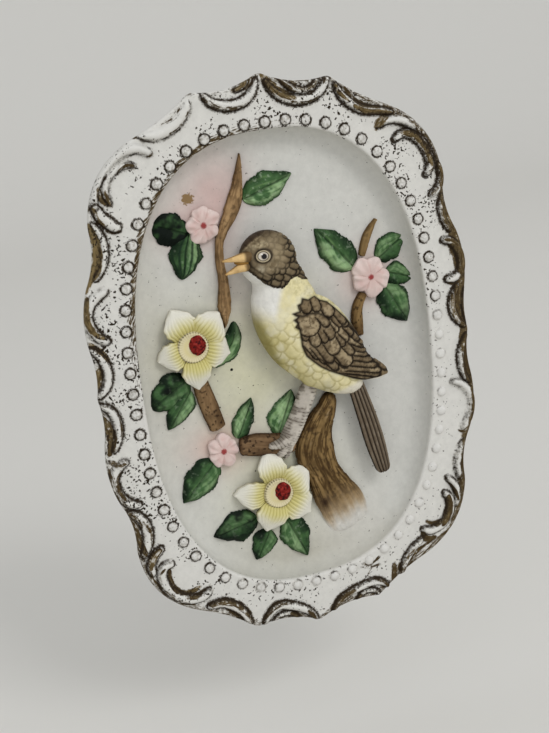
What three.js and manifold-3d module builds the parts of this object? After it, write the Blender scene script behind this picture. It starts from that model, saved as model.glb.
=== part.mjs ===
// A bisque porcelain wall plaque: an oval dished plate with a scrolled and beaded border, and in its
// well a bird on a broken branch among flowers and leaves. Millimetres, +Z up, the front faces -Y.
// Places on the plate are [x, z] from the middle of the well, and "rise" is the distance from the wall.

import * as THREE from "three";
import { ParametricGeometry } from "three/addons/geometries/ParametricGeometry.js";
import { mergeVertices } from "three/addons/utils/BufferGeometryUtils.js";
import Module from "manifold-3d";

const wasm = await Module();
wasm.setup();

// Driving dimensions.
const FOOT_RISE = 4.5;
const WALL_THICKNESS = 4;
const WELL_DEPTH = 8;
const FLOOR_RISE = FOOT_RISE + WALL_THICKNESS;
const BORDER_RISE = FLOOR_RISE + WELL_DEPTH;
const OVAL_POWER = 2.49;
const FLOOR_OVAL = [47.4, 73.4];
const WELL_OVAL = [50.6, 76.7];
const BEAD_OVAL = [53.9, 79];
const BEAD_COUNT = 64;
const BEAD_RADIUS = 2.05;
const BEAD_HEIGHT = 1.7;
const FOOT_OUTSIDE = 2.6;
const FOOT_INSIDE = 2.4;
const HANGING_HOLE = { x: 15, radius: 1.4, rise: 2.3 };
const GAP = 0.3;
const CUTTER_HEIGHT = 30;
const END_EASE = 0.6;
const MOUNT_HEIGHT = FLOOR_OVAL[1];

// The outline of one quarter, from the top cusp to the side cusp: each bay ends at a point and bows
// out from its chord, or in where the bow is below zero.
const TOP_CUSP = [0, 94.8];
const OUTLINE_BAYS = [
  { end: [23, 90.8], bow: -2.1, steps: 4 },
  { end: [42, 79.5], bow: -0.9, steps: 4 },
  { end: [60, 54], bow: 4.6, steps: 5 },
  { end: [63.4, 35.5], bow: -1.5, steps: 3 },
  { end: [65.1, 15], bow: 1.4, steps: 4 },
  { end: [65.3, 0], bow: -0.9, steps: 3 },
];

const CUSP_SOFTENING = 0.12;

// The raised strokes of one quarter of the border. Crescents taper to nothing, scrolls end in knobs.
const SCROLLWORK = [
  { way: [[2.6, 93.4], [5.8, 87.4], [12.4, 84.7], [18.8, 87.2], [22.2, 90.6]], width: 3, taper: 0.45 },
  { way: [[24.4, 88.4], [27, 83], [31.4, 79.8], [36.4, 78], [41.8, 77.8]], width: 3.2, taper: 0.45 },
  { way: [[38.2, 73.2], [42.4, 74.6], [48, 73.4], [53.4, 68.6], [56.4, 61.8], [55.4, 56.2], [52.4, 52.6]],
    width: 4.2, taper: 0.16 },
  { way: [[43.2, 68.4], [47.6, 69.2], [51.6, 66.4], [53.4, 61.8], [52.6, 57.4]], width: 2.6, taper: 0.3 },
  { way: [[59.6, 54], [57, 49.8], [56.7, 45], [58.4, 40.4], [62, 36.6]], width: 3, taper: 0.45 },
  { way: [[57.9, 34.3], [61.6, 33], [64, 28.8], [64.3, 24.4], [62.4, 20.2], [58.4, 17.9]],
    width: 3.4, taper: 0.16 },
  { way: [[64.2, 15.2], [61.3, 12.6], [60.3, 8.2], [61.2, 3.8], [64, 0.9]], width: 2.9, taper: 0.45 },
];
const SCROLL_HEIGHT = 1.9;
const SCROLL_SINK = 0.35;

const BRANCH_SINK = 1.4;

// Branches moulded with the plate: each point is [x, z, width].
const BRANCHES = {
  upper: { height: 3, way: [[-7.6, 69, 1.6], [-9.4, 60, 3.8], [-11, 55, 5.2], [-13.6, 50, 4.4],
    [-17, 44, 3], [-18.2, 37, 2.8], [-17.9, 29, 3], [-18.6, 21, 4.6], [-19.4, 14, 1]] },
  left: { height: 2.6, way: [[-30.4, -1.4, 5.6], [-28.9, -8, 6.2], [-27.4, -14, 6.2],
    [-25.9, -19.4, 5.6]] },
  stub: { height: 4, way: [[-19.4, -27.3, 6.4], [-14, -27.6, 8], [-8, -28.6, 7.6],
    [0, -29.6, 7]] },
  trunk: { height: 4.4, way: [[14.8, -14.6, 4], [12.4, -20, 7.4], [8.4, -27, 11.4],
    [6.8, -34, 14.4], [9.4, -42, 13.4], [12.6, -50, 16], [15.6, -57, 17], [18.6, -66, 15]] },
  rightTop: { height: 2.4, way: [[37, 41.6, 1.2], [33.6, 36.6, 3.2], [31, 30, 2.4]] },
  rightLow: { height: 2.8, way: [[30.4, 17.6, 2.6], [27.8, 13, 3.8], [27.2, 7.4, 4.2],
    [27.4, 3, 3.4]] },
};

// Leaves, from stalk to tip. The later leaf of a touching pair makes room for the earlier one.
const LEAVES = [
  { name: "leaf_top", stalk: [-8, 55], tip: [9.4, 61], width: 10.6 },
  { name: "leaf_upper_left_blunt", stalk: [-27.6, 47.6], tip: [-38.4, 50.6], width: 10.4 },
  { name: "leaf_upper_left_folded", stalk: [-27.2, 46.6], tip: [-31.4, 32.4], width: 11 },
  { name: "leaf_by_upper_flower", stalk: [-27, 3.4], tip: [-16, 15.8], width: 7.6, sweep: 3.4 },
  { name: "leaf_far_left", stalk: [-34, -0.4], tip: [-47.6, -8.4], width: 12.4, sweep: -1 },
  { name: "leaf_left", stalk: [-33.6, -4.8], tip: [-42.8, -16.4], width: 8.6, sweep: 1 },
  { name: "leaf_middle_small", stalk: [-19.6, -24.2], tip: [-13.2, -11.4], width: 7.4 },
  { name: "leaf_middle", stalk: [-5.6, -26.4], tip: [1, -11.4], width: 10.8 },
  { name: "leaf_lower_left", stalk: [-28.4, -30.4], tip: [-41, -42.8], width: 11.6 },
  { name: "leaf_low_left", stalk: [-16.4, -54], tip: [-32.2, -57.2], width: 11.2, sweep: 0.6 },
  { name: "leaf_low_middle", stalk: [-12.6, -59.4], tip: [-18.2, -69.2], width: 9 },
  { name: "leaf_low_right", stalk: [-6.4, -56], tip: [0.2, -72.2], width: 10.4 },
  { name: "leaf_right_cluster_left", stalk: [28, 26.6], tip: [15.6, 41.6], width: 11.6 },
  { name: "leaf_right_cluster_top", stalk: [36.6, 28.4], tip: [47.8, 35.6], width: 9.2 },
  { name: "leaf_right_cluster_side", stalk: [39.4, 23.4], tip: [49.4, 19.8], width: 8.4 },
  { name: "leaf_right_cluster_low", stalk: [38.4, 18.6], tip: [45.6, 5], width: 12 },
];
const LEAF_HEIGHT = 2;
const RIB_SINK = 0.6;
const LEAF_STATIONS = [0.02, 0.26, 0.62, 0.98];

// Yellow flowers: each petal is [direction in degrees from +X towards +Z, length].
const YELLOW_FLOWERS = [
  { name: "yellow_flower_upper", centre: [-31.6, 10.6],
    petals: [[110, 13.4], [43, 14.2], [-20, 13.2], [-87, 14.6], [196, 11.4]] },
  { name: "yellow_flower_lower", centre: [-7.6, -46],
    petals: [[97, 14.8], [22, 13], [-44, 15.2], [-114, 14], [174, 14.4]] },
];
const YELLOW = { petalWidth: 11.6, petalRise: 2.6, petalHeight: 1.6, discRadius: 4.6, discTop: 5.2,
  heartRadius: 2.8, heartTop: 6.6 };

// Pink flowers: five round petals each.
const PINK_FLOWERS = [
  { name: "pink_flower_upper", centre: [-22.4, 49], radius: 5.8, turn: 18 },
  { name: "pink_flower_left", centre: [-25.4, -27.2], radius: 5.6, turn: -18 },
  { name: "pink_flower_right", centre: [33.2, 22.8], radius: 6.9, turn: 10 },
];
const PINK = { petalCount: 5, petalTop: 2.6, heartRadius: 1.1, heartTop: 3.3 };

// The bird: each station is [x, z, half width, rise above the floor of the middle, half depth].
const BIRD_BODY = [[-2.8, 33, 7.2, 5.6, 7], [-1.8, 25, 9, 5.2, 7.6], [0.6, 18, 11, 5, 8.4],
  [5.6, 8, 12.2, 5, 9.2], [11.8, -2, 9.8, 5, 8.2], [17.6, -8.4, 6.6, 4.8, 5.6], [24, -13, 2.6, 4.8, 2.4]];
const BIRD_WING = [[7.8, 20, 3.2, 9.4, 3.4], [11, 13, 7.4, 9.2, 5.2], [14.4, 5, 8.8, 9, 5.2],
  [19.2, -1.4, 7.4, 8.4, 4.4], [25, -6.2, 4.8, 7.6, 3], [33.6, -10, 1.2, 6.8, 1.4]];
const BIRD_HEAD = { centre: [-3.9, 36.2], radius: 9.5, rise: 6.6, depth: 9.2 };
const BIRD_EYE = { centre: [-6.2, 37], radius: 2, rise: 14.6, depth: 1.6 };
const BIRD_BEAK = [
  [[-10.6, 38.6, 2.4, 9.4, 2.6], [-14.6, 38, 1.7, 10, 1.9], [-20, 37.8, 0.4, 10, 0.5]],
  [[-10.6, 34.8, 2, 9.2, 2.4], [-14.6, 34, 1.3, 9.8, 1.6], [-18.8, 33, 0.4, 10, 0.5]],
];
const BIRD_TAIL = { feathers: 4, pitch: 1.5, halfWidth: 0.95, halfDepth: 1.3,
  way: [[22.6, -11, 5.4], [25.4, -24, 5.6], [27.5, -35, 5.4], [29.5, -44.6, 5.2]] };
const BIRD_LEG = [[7.2, -8.6, 3, 3, 4.2], [2, -20.5, 2.5, 1.4, 3], [-2.6, -28.6, 2.6, 1.6, 3.2],
  [-4.6, -34, 1.6, 1.2, 2.4]];

const FINISHES = {
  bisque: { color: 0xdedcd8, roughness: 0.75, metalness: 0 },
  bird: { color: 0xb9ab7c, roughness: 0.7, metalness: 0 },
  yellow: { color: 0xe6deae, roughness: 0.7, metalness: 0 },
  pink: { color: 0xe3cbc6, roughness: 0.75, metalness: 0 },
  leaf: { color: 0x4f7448, roughness: 0.65, metalness: 0 },
};

// --- Helpers ---

// A point in the part's axes from a place on the plate and its rise from the wall.
function point(x, z, rise) {
  return new THREE.Vector3(x, -rise, z);
}

// A closed mesh as a solid: equal corners merged, flat slivers dropped and its faces turned outwards.
function solid(geometry) {
  const bare = geometry.clone();
  bare.deleteAttribute("normal");
  bare.deleteAttribute("uv");
  const merged = mergeVertices(bare, 1e-4);
  const corners = merged.attributes.position.array;
  const index = merged.index.array;
  const triangles = [];
  let volume = 0;
  for (let i = 0; i < index.length; i += 3) {
    const [a, b, c] = [index[i], index[i + 1], index[i + 2]];
    if (a === b || b === c || c === a) {
      continue;
    }
    triangles.push(a, b, c);
    const [p, q, r] = [a, b, c].map((k) => new THREE.Vector3().fromArray(corners, 3 * k));
    volume += p.dot(q.cross(r));
  }
  if (volume < 0) {
    triangles.reverse();
  }
  return new wasm.Manifold(new wasm.Mesh({
    numProp: 3,
    vertProperties: new Float32Array(corners),
    triVerts: new Uint32Array(triangles),
  }));
}

// The solid as a three.js geometry.
function geometryOf(manifold) {
  const mesh = manifold.getMesh();
  const geometry = new THREE.BufferGeometry();
  geometry.setAttribute("position", new THREE.BufferAttribute(mesh.vertProperties, 3));
  geometry.setIndex(new THREE.BufferAttribute(mesh.triVerts, 1));
  geometry.computeVertexNormals();
  return geometry;
}

function unite(solids) {
  return solids.reduce((all, next) => all.add(next));
}

function cutAll(body, cutters) {
  return cutters.reduce((left, cutter) => left.subtract(cutter), body);
}

// A skin through rings of equal count, closed at both ends by the middle of the end rings.
function ringSolid(rings) {
  const count = rings[0].length;
  const middle = (ring) => ring.reduce((sum, p) => sum.add(p), new THREE.Vector3()).divideScalar(count);
  const rows = [rings[0].map(() => middle(rings[0])), ...rings, rings[0].map(() => middle(rings.at(-1)))];
  const skin = (u, v, target) => {
    const row = rows[Math.round(v * (rows.length - 1))];
    target.copy(row[Math.round(u * count) % count]);
  };
  return solid(new ParametricGeometry(skin, count, rows.length - 1));
}

// A smooth curve through number lists of equal length, read at t from 0 to 1.
function through(stations, t) {
  const along = t * (stations.length - 1);
  const k = Math.min(Math.floor(along), stations.length - 2);
  const clamp = (i) => stations[Math.max(0, Math.min(stations.length - 1, i))];
  const [a, b, c, d] = [clamp(k - 1), clamp(k), clamp(k + 1), clamp(k + 2)];
  const s = along - k;
  return b.map((value, i) => value + 0.5 * s * (c[i] - a[i]
    + s * (2 * a[i] - 5 * value + 4 * c[i] - d[i] + s * (3 * (value - c[i]) + d[i] - a[i]))));
}

// The direction of travel at t, in the plate's plane.
function heading(stations, t) {
  const [ax, az] = through(stations, Math.max(0, t - 0.01));
  const [bx, bz] = through(stations, Math.min(1, t + 0.01));
  const length = Math.hypot(bx - ax, bz - az);
  return [(bx - ax) / length, (bz - az) / length];
}

// A rounded body along stations [x, z, half width, rise, half depth], drawn in at both ends.
function loft(stations, steps, sides, grow = 0) {
  const rings = [];
  for (let k = 0; k <= steps; k += 1) {
    const t = k / steps;
    const [x, z, halfWidth, rise, halfDepth] = through(stations, t);
    const [dx, dz] = heading(stations, t);
    const ease = k === 0 || k === steps ? END_EASE : 1;
    const ring = [];
    for (let i = 0; i < sides; i += 1) {
      const angle = (2 * Math.PI * (i + 0.5)) / sides;
      const across = (halfWidth * ease + grow) * Math.cos(angle);
      const up = (halfDepth * ease + grow) * Math.sin(angle);
      ring.push(point(x - dz * across, z + dx * across, FLOOR_RISE + rise + up));
    }
    rings.push(ring);
  }
  return ringSolid(rings);
}

// An egg-shaped boss, wide in the plate's plane and deep across it.
function boss(centre, radius, rise, depth, sides, rows, grow = 0) {
  const ball = new THREE.SphereGeometry(1, sides, rows);
  ball.rotateX(Math.PI / 2);
  ball.scale(radius + grow, 1, radius + grow);
  ball.scale(1, depth + grow, 1);
  ball.rotateX(Math.PI);
  ball.translate(centre[0], -(FLOOR_RISE + rise), centre[1]);
  return solid(ball);
}

// The oval's radius in a direction given by its angle.
function ovalRadius([halfWidth, halfHeight], angle) {
  const across = Math.abs(Math.cos(angle)) / halfWidth;
  const up = Math.abs(Math.sin(angle)) / halfHeight;
  return (across ** OVAL_POWER + up ** OVAL_POWER) ** (-1 / OVAL_POWER);
}

function grownOval([halfWidth, halfHeight], margin) {
  return [halfWidth + margin, halfHeight + margin];
}

// The four mirror images of a list of places.
function mirrored(way) {
  const signs = [[1, 1], [1, -1], [-1, -1], [-1, 1]];
  return signs.map(([sx, sz]) => way.map(([x, z]) => [sx * x, sz * z]));
}

// --- The plate ---

// One quarter of the outline from the top cusp, without the side cusp itself.
function quarterOutline() {
  const places = [];
  let start = new THREE.Vector2(...TOP_CUSP);
  for (const bay of OUTLINE_BAYS) {
    const end = new THREE.Vector2(...bay.end);
    const out = new THREE.Vector2(start.y - end.y, end.x - start.x).normalize();
    const pull = start.clone().add(end).multiplyScalar(0.5).addScaledVector(out, 2 * bay.bow);
    const arc = new THREE.QuadraticBezierCurve(start, pull, end);
    places.push(...arc.getPoints(bay.steps).slice(0, -1).map((p) => [p.x, p.y]));
    start = end;
  }
  return places;
}

// The whole outline, clockwise from the top cusp.
function outline() {
  const quarter = quarterOutline();
  const side = OUTLINE_BAYS.at(-1).end;
  const half = [...quarter, side, ...quarter.slice(1).reverse().map(([x, z]) => [x, -z])];
  const whole = [...half, [0, -TOP_CUSP[1]], ...half.slice(1).reverse().map(([x, z]) => [-x, z])];
  return softened(whole);
}

// Each place drawn a little towards its neighbours, which rounds the points between the bays.
function softened(places) {
  return places.map(([x, z], i) => {
    const [ax, az] = places.at(i - 1);
    const [bx, bz] = places[(i + 1) % places.length];
    return [x + CUSP_SOFTENING * (ax + bx - 2 * x), z + CUSP_SOFTENING * (az + bz - 2 * z)];
  });
}

function edgeRing(places, inset, rise) {
  return places.map(([x, z]) => {
    const length = Math.hypot(x, z);
    return point((x * (length - inset)) / length, (z * (length - inset)) / length, rise);
  });
}

function ovalRing(places, oval, rise) {
  return places.map(([x, z]) => {
    const angle = Math.atan2(z, x);
    const radius = ovalRadius(oval, angle);
    return point(radius * Math.cos(angle), radius * Math.sin(angle), rise);
  });
}

// The dished shell with its scalloped edge in front and its foot ring behind.
function shell() {
  const places = outline();
  const backRise = BORDER_RISE - WALL_THICKNESS;
  return ringSolid([
    ovalRing(places, FLOOR_OVAL, FLOOR_RISE),
    ovalRing(places, grownOval(WELL_OVAL, -0.4), BORDER_RISE - 1.2),
    ovalRing(places, grownOval(WELL_OVAL, 0.9), BORDER_RISE),
    edgeRing(places, 1, BORDER_RISE),
    edgeRing(places, 0, BORDER_RISE - 1.6),
    edgeRing(places, 1.4, backRise - 0.6),
    ovalRing(places, grownOval(WELL_OVAL, 3.6), backRise),
    ovalRing(places, grownOval(FLOOR_OVAL, FOOT_OUTSIDE), 0),
    ovalRing(places, grownOval(FLOOR_OVAL, -FOOT_INSIDE), 0),
    ovalRing(places, grownOval(FLOOR_OVAL, -FOOT_INSIDE - 0.8), FOOT_RISE),
  ]);
}

// Two holes through the top of the foot ring, where the hanging wire is tied.
function hangingHoles() {
  return [-1, 1].map((side) => {
    const drill = new THREE.CylinderGeometry(HANGING_HOLE.radius, HANGING_HOLE.radius, 16, 6);
    drill.rotateX(Math.PI / 2);
    drill.translate(side * HANGING_HOLE.x, -HANGING_HOLE.rise, MOUNT_HEIGHT);
    return solid(drill);
  });
}

// Places at equal steps along the bead oval, the first at the top.
function beadPlaces() {
  const fine = 4000;
  const track = [];
  for (let k = 0; k <= fine; k += 1) {
    const angle = Math.PI / 2 - (2 * Math.PI * k) / fine;
    const radius = ovalRadius(BEAD_OVAL, angle);
    track.push(new THREE.Vector2(radius * Math.cos(angle), radius * Math.sin(angle)));
  }
  const run = [0];
  track.slice(1).forEach((p, k) => run.push(run[k] + p.distanceTo(track[k])));
  return Array.from({ length: BEAD_COUNT }, (_, i) => {
    const goal = (run.at(-1) * i) / BEAD_COUNT;
    return track[run.findIndex((length) => length >= goal - 1e-9)];
  });
}

function beads() {
  return beadPlaces().map((p) => boss([p.x, p.y], BEAD_RADIUS, WELL_DEPTH, BEAD_HEIGHT, 5, 4));
}

// One raised stroke of the scrollwork.
function stroke({ way, width, taper }) {
  const steps = way.length - 1;
  const sides = 4;
  const rings = [];
  for (let k = 1; k < steps + 1; k += 1) {
    const t = k / (steps + 1);
    const ease = Math.sin(Math.PI * t) ** taper;
    const [x, z] = through(way, t);
    const [dx, dz] = heading(way, t);
    rings.push(Array.from({ length: sides }, (_, i) => {
      const angle = Math.PI / 2 + (2 * Math.PI * i) / sides;
      const across = 0.5 * width * ease * Math.cos(angle);
      const up = SCROLL_HEIGHT * ease * Math.sin(angle) - SCROLL_SINK;
      return point(x - dz * across, z + dx * across, BORDER_RISE + up);
    }));
  }
  return ringSolid([endRing(rings[0], way[0]), ...rings, endRing(rings.at(-1), way.at(-1))]);
}

// A small ring about the end of a stroke, which rounds it off.
function endRing(ring, [x, z]) {
  const end = point(x, z, BORDER_RISE - SCROLL_SINK);
  return ring.map((p) => p.clone().lerp(end, 0.75));
}

function scrollwork() {
  return SCROLLWORK.flatMap((each) => mirrored(each.way).map((way) => stroke({ ...each, way })));
}

// A branch: a rounded ridge with its foot sunk in the floor of the well.
function branch({ way, height }) {
  const rise = (height - BRANCH_SINK) / 2;
  const halfDepth = (height + BRANCH_SINK) / 2;
  const stations = way.map(([x, z, width]) => [x, z, width / 2, rise, halfDepth]);
  return loft(stations, way.length - 1, 6);
}

// --- What is applied to the well ---

// The half width of a leaf along it: round below, pointed above.
function leafProfile(t) {
  return Math.sin(Math.PI * t ** 0.72) ** 0.8;
}

// Places down a leaf's rib, with the heading there.
function rib({ stalk, tip, sweep = 0 }, t) {
  const [dx, dz] = [tip[0] - stalk[0], tip[1] - stalk[1]];
  const length = Math.hypot(dx, dz);
  const bow = 4 * sweep * t * (1 - t);
  const slope = (4 * sweep * (1 - 2 * t)) / length;
  const along = [dx / length, dz / length];
  const place = [stalk[0] + dx * t + along[1] * bow, stalk[1] + dz * t - along[0] * bow];
  const turn = Math.atan2(-slope, 1);
  const aim = [along[0] * Math.cos(turn) - along[1] * Math.sin(turn),
    along[0] * Math.sin(turn) + along[1] * Math.cos(turn)];
  return { place, aim };
}

// A leaf with a sunk rib between two swelling halves, flat below.
function leaf(spec) {
  const section = [[-1, 0], [-0.6, LEAF_HEIGHT], [0, LEAF_HEIGHT - RIB_SINK], [0.6, LEAF_HEIGHT], [1, 0]];
  const rings = LEAF_STATIONS.map((t) => {
    const { place, aim } = rib(spec, t);
    const half = 0.5 * spec.width * leafProfile(t);
    return section.map(([across, rise]) => point(place[0] - aim[1] * half * across,
      place[1] + aim[0] * half * across, FLOOR_RISE + rise));
  });
  return ringSolid(rings);
}

// A straight-sided block over a leaf's outline and a little more, which clears room for it.
function leafCutter(spec) {
  const sides = [1, -1].map((side) => LEAF_STATIONS.map((t) => {
    const { place, aim } = rib(spec, t);
    const half = side * (0.5 * spec.width * leafProfile(t) + GAP);
    const push = t < 0.1 ? -GAP : t > 0.9 ? GAP : 0;
    return [place[0] - aim[1] * half + aim[0] * push, place[1] + aim[0] * half + aim[1] * push];
  }));
  return block([...sides[0], ...sides[1].reverse()]);
}

// A block that stands on the floor over an outline.
function block(places) {
  const shape = new THREE.Shape(places.map(([x, z]) => new THREE.Vector2(x, z)));
  const body = new THREE.ExtrudeGeometry(shape, { depth: CUTTER_HEIGHT, bevelEnabled: false });
  body.rotateX(Math.PI / 2);
  body.translate(0, -FLOOR_RISE, 0);
  return solid(body);
}

// A pointed petal that leaves the disc, swells and comes down to its tip.
function yellowPetal([x, z], [degrees, length], grow = 0) {
  const angle = THREE.MathUtils.degToRad(degrees);
  const half = YELLOW.petalWidth / 2;
  const reach = (share) => [x + share * length * Math.cos(angle), z + share * length * Math.sin(angle)];
  const { petalRise: rise, petalHeight: height } = YELLOW;
  const stations = [
    [...reach(0.12), half * 0.5, rise - 0.4, height * 0.8],
    [...reach(0.45), half * 0.92, rise + 0.6, height],
    [...reach(0.74), half * 0.78, rise + 0.3, height * 0.9],
    [...reach(1), half * 0.1, rise - 0.2, height * 0.4],
  ];
  return loft(stations, 3, 5, grow);
}

// A yellow flower: five petals about a disc with a grained heart.
function yellowFlower({ centre, petals }, grow = 0) {
  return unite([
    ...petals.map((petal) => yellowPetal(centre, petal, grow)),
    boss(centre, YELLOW.discRadius, 0, YELLOW.discTop, 8, 4, grow),
    boss(centre, YELLOW.heartRadius, 2, YELLOW.heartTop - 2, 6, 4, grow),
  ]);
}

// A pink flower: five round petals about a small heart.
function pinkFlower({ centre, radius, turn }, grow = 0) {
  const petals = Array.from({ length: PINK.petalCount }, (_, i) => {
    const angle = THREE.MathUtils.degToRad(turn) + (2 * Math.PI * i) / PINK.petalCount;
    const reach = radius * 0.52;
    const middle = [centre[0] + reach * Math.cos(angle), centre[1] + reach * Math.sin(angle)];
    return boss(middle, radius * 0.5, 0, PINK.petalTop, 6, 4, grow);
  });
  return unite([...petals, boss(centre, PINK.heartRadius, 0, PINK.heartTop, 6, 4, grow)]);
}

function birdTail(grow) {
  const { feathers, pitch, halfWidth, halfDepth, way } = BIRD_TAIL;
  return Array.from({ length: feathers }, (_, i) => {
    const offset = (i - (feathers - 1) / 2) * pitch;
    const stations = way.map(([x, z, rise], k) => {
      const narrow = k === way.length - 1 ? 0.75 : 1;
      return [x + offset * narrow, z - Math.abs(offset) * 0.3, halfWidth * narrow, rise, halfDepth];
    });
    return loft(stations, 3, 6, grow);
  });
}

// The bird in high relief, with its tail and beak standing free of the floor.
function bird(grow = 0) {
  const whole = unite([
    loft(BIRD_BODY, 6, 9, grow),
    boss(BIRD_HEAD.centre, BIRD_HEAD.radius, BIRD_HEAD.rise, BIRD_HEAD.depth, 11, 6, grow),
    boss(BIRD_EYE.centre, BIRD_EYE.radius, BIRD_EYE.rise, BIRD_EYE.depth, 8, 4, grow),
    loft(BIRD_WING, 5, 8, grow),
    ...BIRD_BEAK.map((stations) => loft(stations, 2, 6, grow)),
    ...birdTail(grow),
    loft(BIRD_LEG, 3, 6, grow),
  ]);
  return whole.intersect(wellSpace());
}

// The space over the floor of the well.
function wellSpace() {
  const places = [];
  for (let i = 0; i < 48; i += 1) {
    const angle = (2 * Math.PI * i) / 48;
    const radius = ovalRadius(grownOval(FLOOR_OVAL, -GAP), angle);
    places.push([radius * Math.cos(angle), radius * Math.sin(angle)]);
  }
  return block(places);
}

// --- The whole plaque ---

const plaque = new THREE.Group();
plaque.position.z = -MOUNT_HEIGHT;

function addPiece(name, manifold, finish) {
  const mesh = new THREE.Mesh(geometryOf(manifold), new THREE.MeshStandardMaterial(FINISHES[finish]));
  mesh.name = name;
  plaque.add(mesh);
}

function buildPlate() {
  const flowers = [
    ...YELLOW_FLOWERS.map((flower) => yellowFlower(flower, GAP)),
    ...PINK_FLOWERS.map((flower) => pinkFlower(flower, GAP)),
  ];
  const leaves = LEAVES.map(leafCutter);
  const branches = Object.values(BRANCHES).map((each) => cutAll(branch(each), [...flowers, ...leaves, bird(GAP)]));
  const plate = unite([shell(), ...beads(), ...scrollwork(), ...branches]);
  return cutAll(plate, hangingHoles());
}

function buildLeaves() {
  const flowers = [
    ...YELLOW_FLOWERS.map((flower) => yellowFlower(flower, GAP)),
    ...PINK_FLOWERS.map((flower) => pinkFlower(flower, GAP)),
  ];
  LEAVES.forEach((spec, i) => {
    const earlier = LEAVES.slice(0, i).map(leafCutter);
    const body = cutAll(leaf(spec), [...flowers, ...earlier, bird(GAP)]);
    addPiece(spec.name, body.intersect(wellSpace()), "leaf");
  });
}

addPiece("plate", buildPlate(), "bisque");
addPiece("bird", cutAll(bird(), LEAVES.filter(({ name }) => name === "leaf_middle").map(leafCutter)), "bird");
YELLOW_FLOWERS.forEach((flower) => {
  addPiece(flower.name, yellowFlower(flower).intersect(wellSpace()), "yellow");
});
PINK_FLOWERS.forEach((flower) => {
  addPiece(flower.name, pinkFlower(flower).intersect(wellSpace()), "pink");
});
buildLeaves();

export default plaque;
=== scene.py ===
"""A bisque porcelain wall plaque: a beaded, scrolled oval plate with a bird, flowers and leaves.

Places on the plate are [x, z] in millimetres from the middle of the well, and "rise" is the distance
from the wall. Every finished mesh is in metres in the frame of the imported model.
"""

import logging
import math
from collections.abc import Sequence
from dataclasses import dataclass, field
from enum import Enum

import bpy
import numpy as np
from mathutils import Matrix, Vector


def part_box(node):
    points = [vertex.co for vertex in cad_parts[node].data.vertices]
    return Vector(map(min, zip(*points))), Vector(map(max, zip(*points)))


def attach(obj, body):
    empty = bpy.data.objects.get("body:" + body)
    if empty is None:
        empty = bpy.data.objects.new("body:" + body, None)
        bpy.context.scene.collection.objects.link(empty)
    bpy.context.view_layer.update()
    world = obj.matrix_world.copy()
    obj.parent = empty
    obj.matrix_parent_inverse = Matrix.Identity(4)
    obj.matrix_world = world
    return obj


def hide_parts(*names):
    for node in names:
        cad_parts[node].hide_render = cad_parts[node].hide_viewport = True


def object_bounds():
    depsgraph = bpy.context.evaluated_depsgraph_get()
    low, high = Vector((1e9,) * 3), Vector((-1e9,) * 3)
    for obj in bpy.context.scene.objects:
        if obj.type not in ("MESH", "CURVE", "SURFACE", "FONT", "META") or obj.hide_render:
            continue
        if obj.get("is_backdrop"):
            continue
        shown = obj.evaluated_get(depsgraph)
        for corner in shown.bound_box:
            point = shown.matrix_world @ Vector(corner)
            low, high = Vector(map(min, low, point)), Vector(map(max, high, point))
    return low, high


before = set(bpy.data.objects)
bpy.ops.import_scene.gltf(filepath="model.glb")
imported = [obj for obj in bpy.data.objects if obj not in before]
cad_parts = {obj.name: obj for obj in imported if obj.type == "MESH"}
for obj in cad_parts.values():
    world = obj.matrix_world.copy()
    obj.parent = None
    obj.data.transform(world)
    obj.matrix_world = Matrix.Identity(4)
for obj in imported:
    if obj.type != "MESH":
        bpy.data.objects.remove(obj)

LOG = logging.getLogger("plaque")
MM = 0.001
BODY = "root"
Array = np.ndarray
Place = tuple[float, float]
Stations = tuple[tuple[float, float, float, float, float], ...]
Mesh = bpy.types.Object
Material = bpy.types.Material
Node = bpy.types.Node
Socket = bpy.types.NodeSocket


class Slot(Enum):
    """The record's material slots."""

    BISQUE = "white_bisque"
    BIRD = "bird_glaze"
    YELLOW = "yellow_petal"
    PINK = "pink_petal"
    LEAF = "leaf_glaze"


# --- Where things are ---


@dataclass(frozen=True)
class Plate:
    """The plate's own levels and ovals, in millimetres, and the way from them to the frame."""

    middle: Place
    foot_rise: float = 4.5
    floor_rise: float = 8.5
    border_rise: float = 16.5
    power: float = 2.49
    floor_oval: Place = (45.0, 71.2)
    well_oval: Place = (50.6, 76.7)
    bead_oval: Place = (53.9, 79.0)
    foot_oval: Place = (47.4, 73.4)

    @classmethod
    def from_frame(cls) -> "Plate":
        """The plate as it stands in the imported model.

        Returns:
            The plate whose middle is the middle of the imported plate's box.
        """
        low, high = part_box("plate")
        return cls(middle=((low.x + high.x) / 2 / MM, (low.z + high.z) / 2 / MM))

    def points(self, x: Array | float, z: Array | float, rise: Array | float) -> Array:
        """Points of the frame, in metres.

        Args:
            x: Places across the plate.
            z: Places up the plate.
            rise: Distances from the wall.

        Returns:
            An array of one row for each place.
        """
        x, z, rise = np.broadcast_arrays(x, z, rise)
        return np.stack([x + self.middle[0], -rise, z + self.middle[1]], axis=-1) * MM

    def oval(self, axes: Place, angle: Array, margin: float = 0.0) -> Array:
        """The radius of one of the ovals in the directions given by their angles."""
        across = np.abs(np.cos(angle)) / (axes[0] + margin)
        up = np.abs(np.sin(angle)) / (axes[1] + margin)
        return (across**self.power + up**self.power) ** (-1 / self.power)


PLATE = Plate.from_frame()
VIEWER = (-115.8, 103.7, 365.9)


# --- Numbers, colours and noise ---


def linear(code: str) -> Array:
    """A colour written as rrggbb, in linear light."""
    value = np.array([int(code[i:i + 2], 16) / 255 for i in (0, 2, 4)])
    return np.where(value <= 0.04045, value / 12.92, ((value + 0.055) / 1.055) ** 2.4)


def bump(distance: Array, width: float) -> Array:
    """A soft hump of height one about zero distance."""
    return np.exp(-((distance / width) ** 2))


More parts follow.
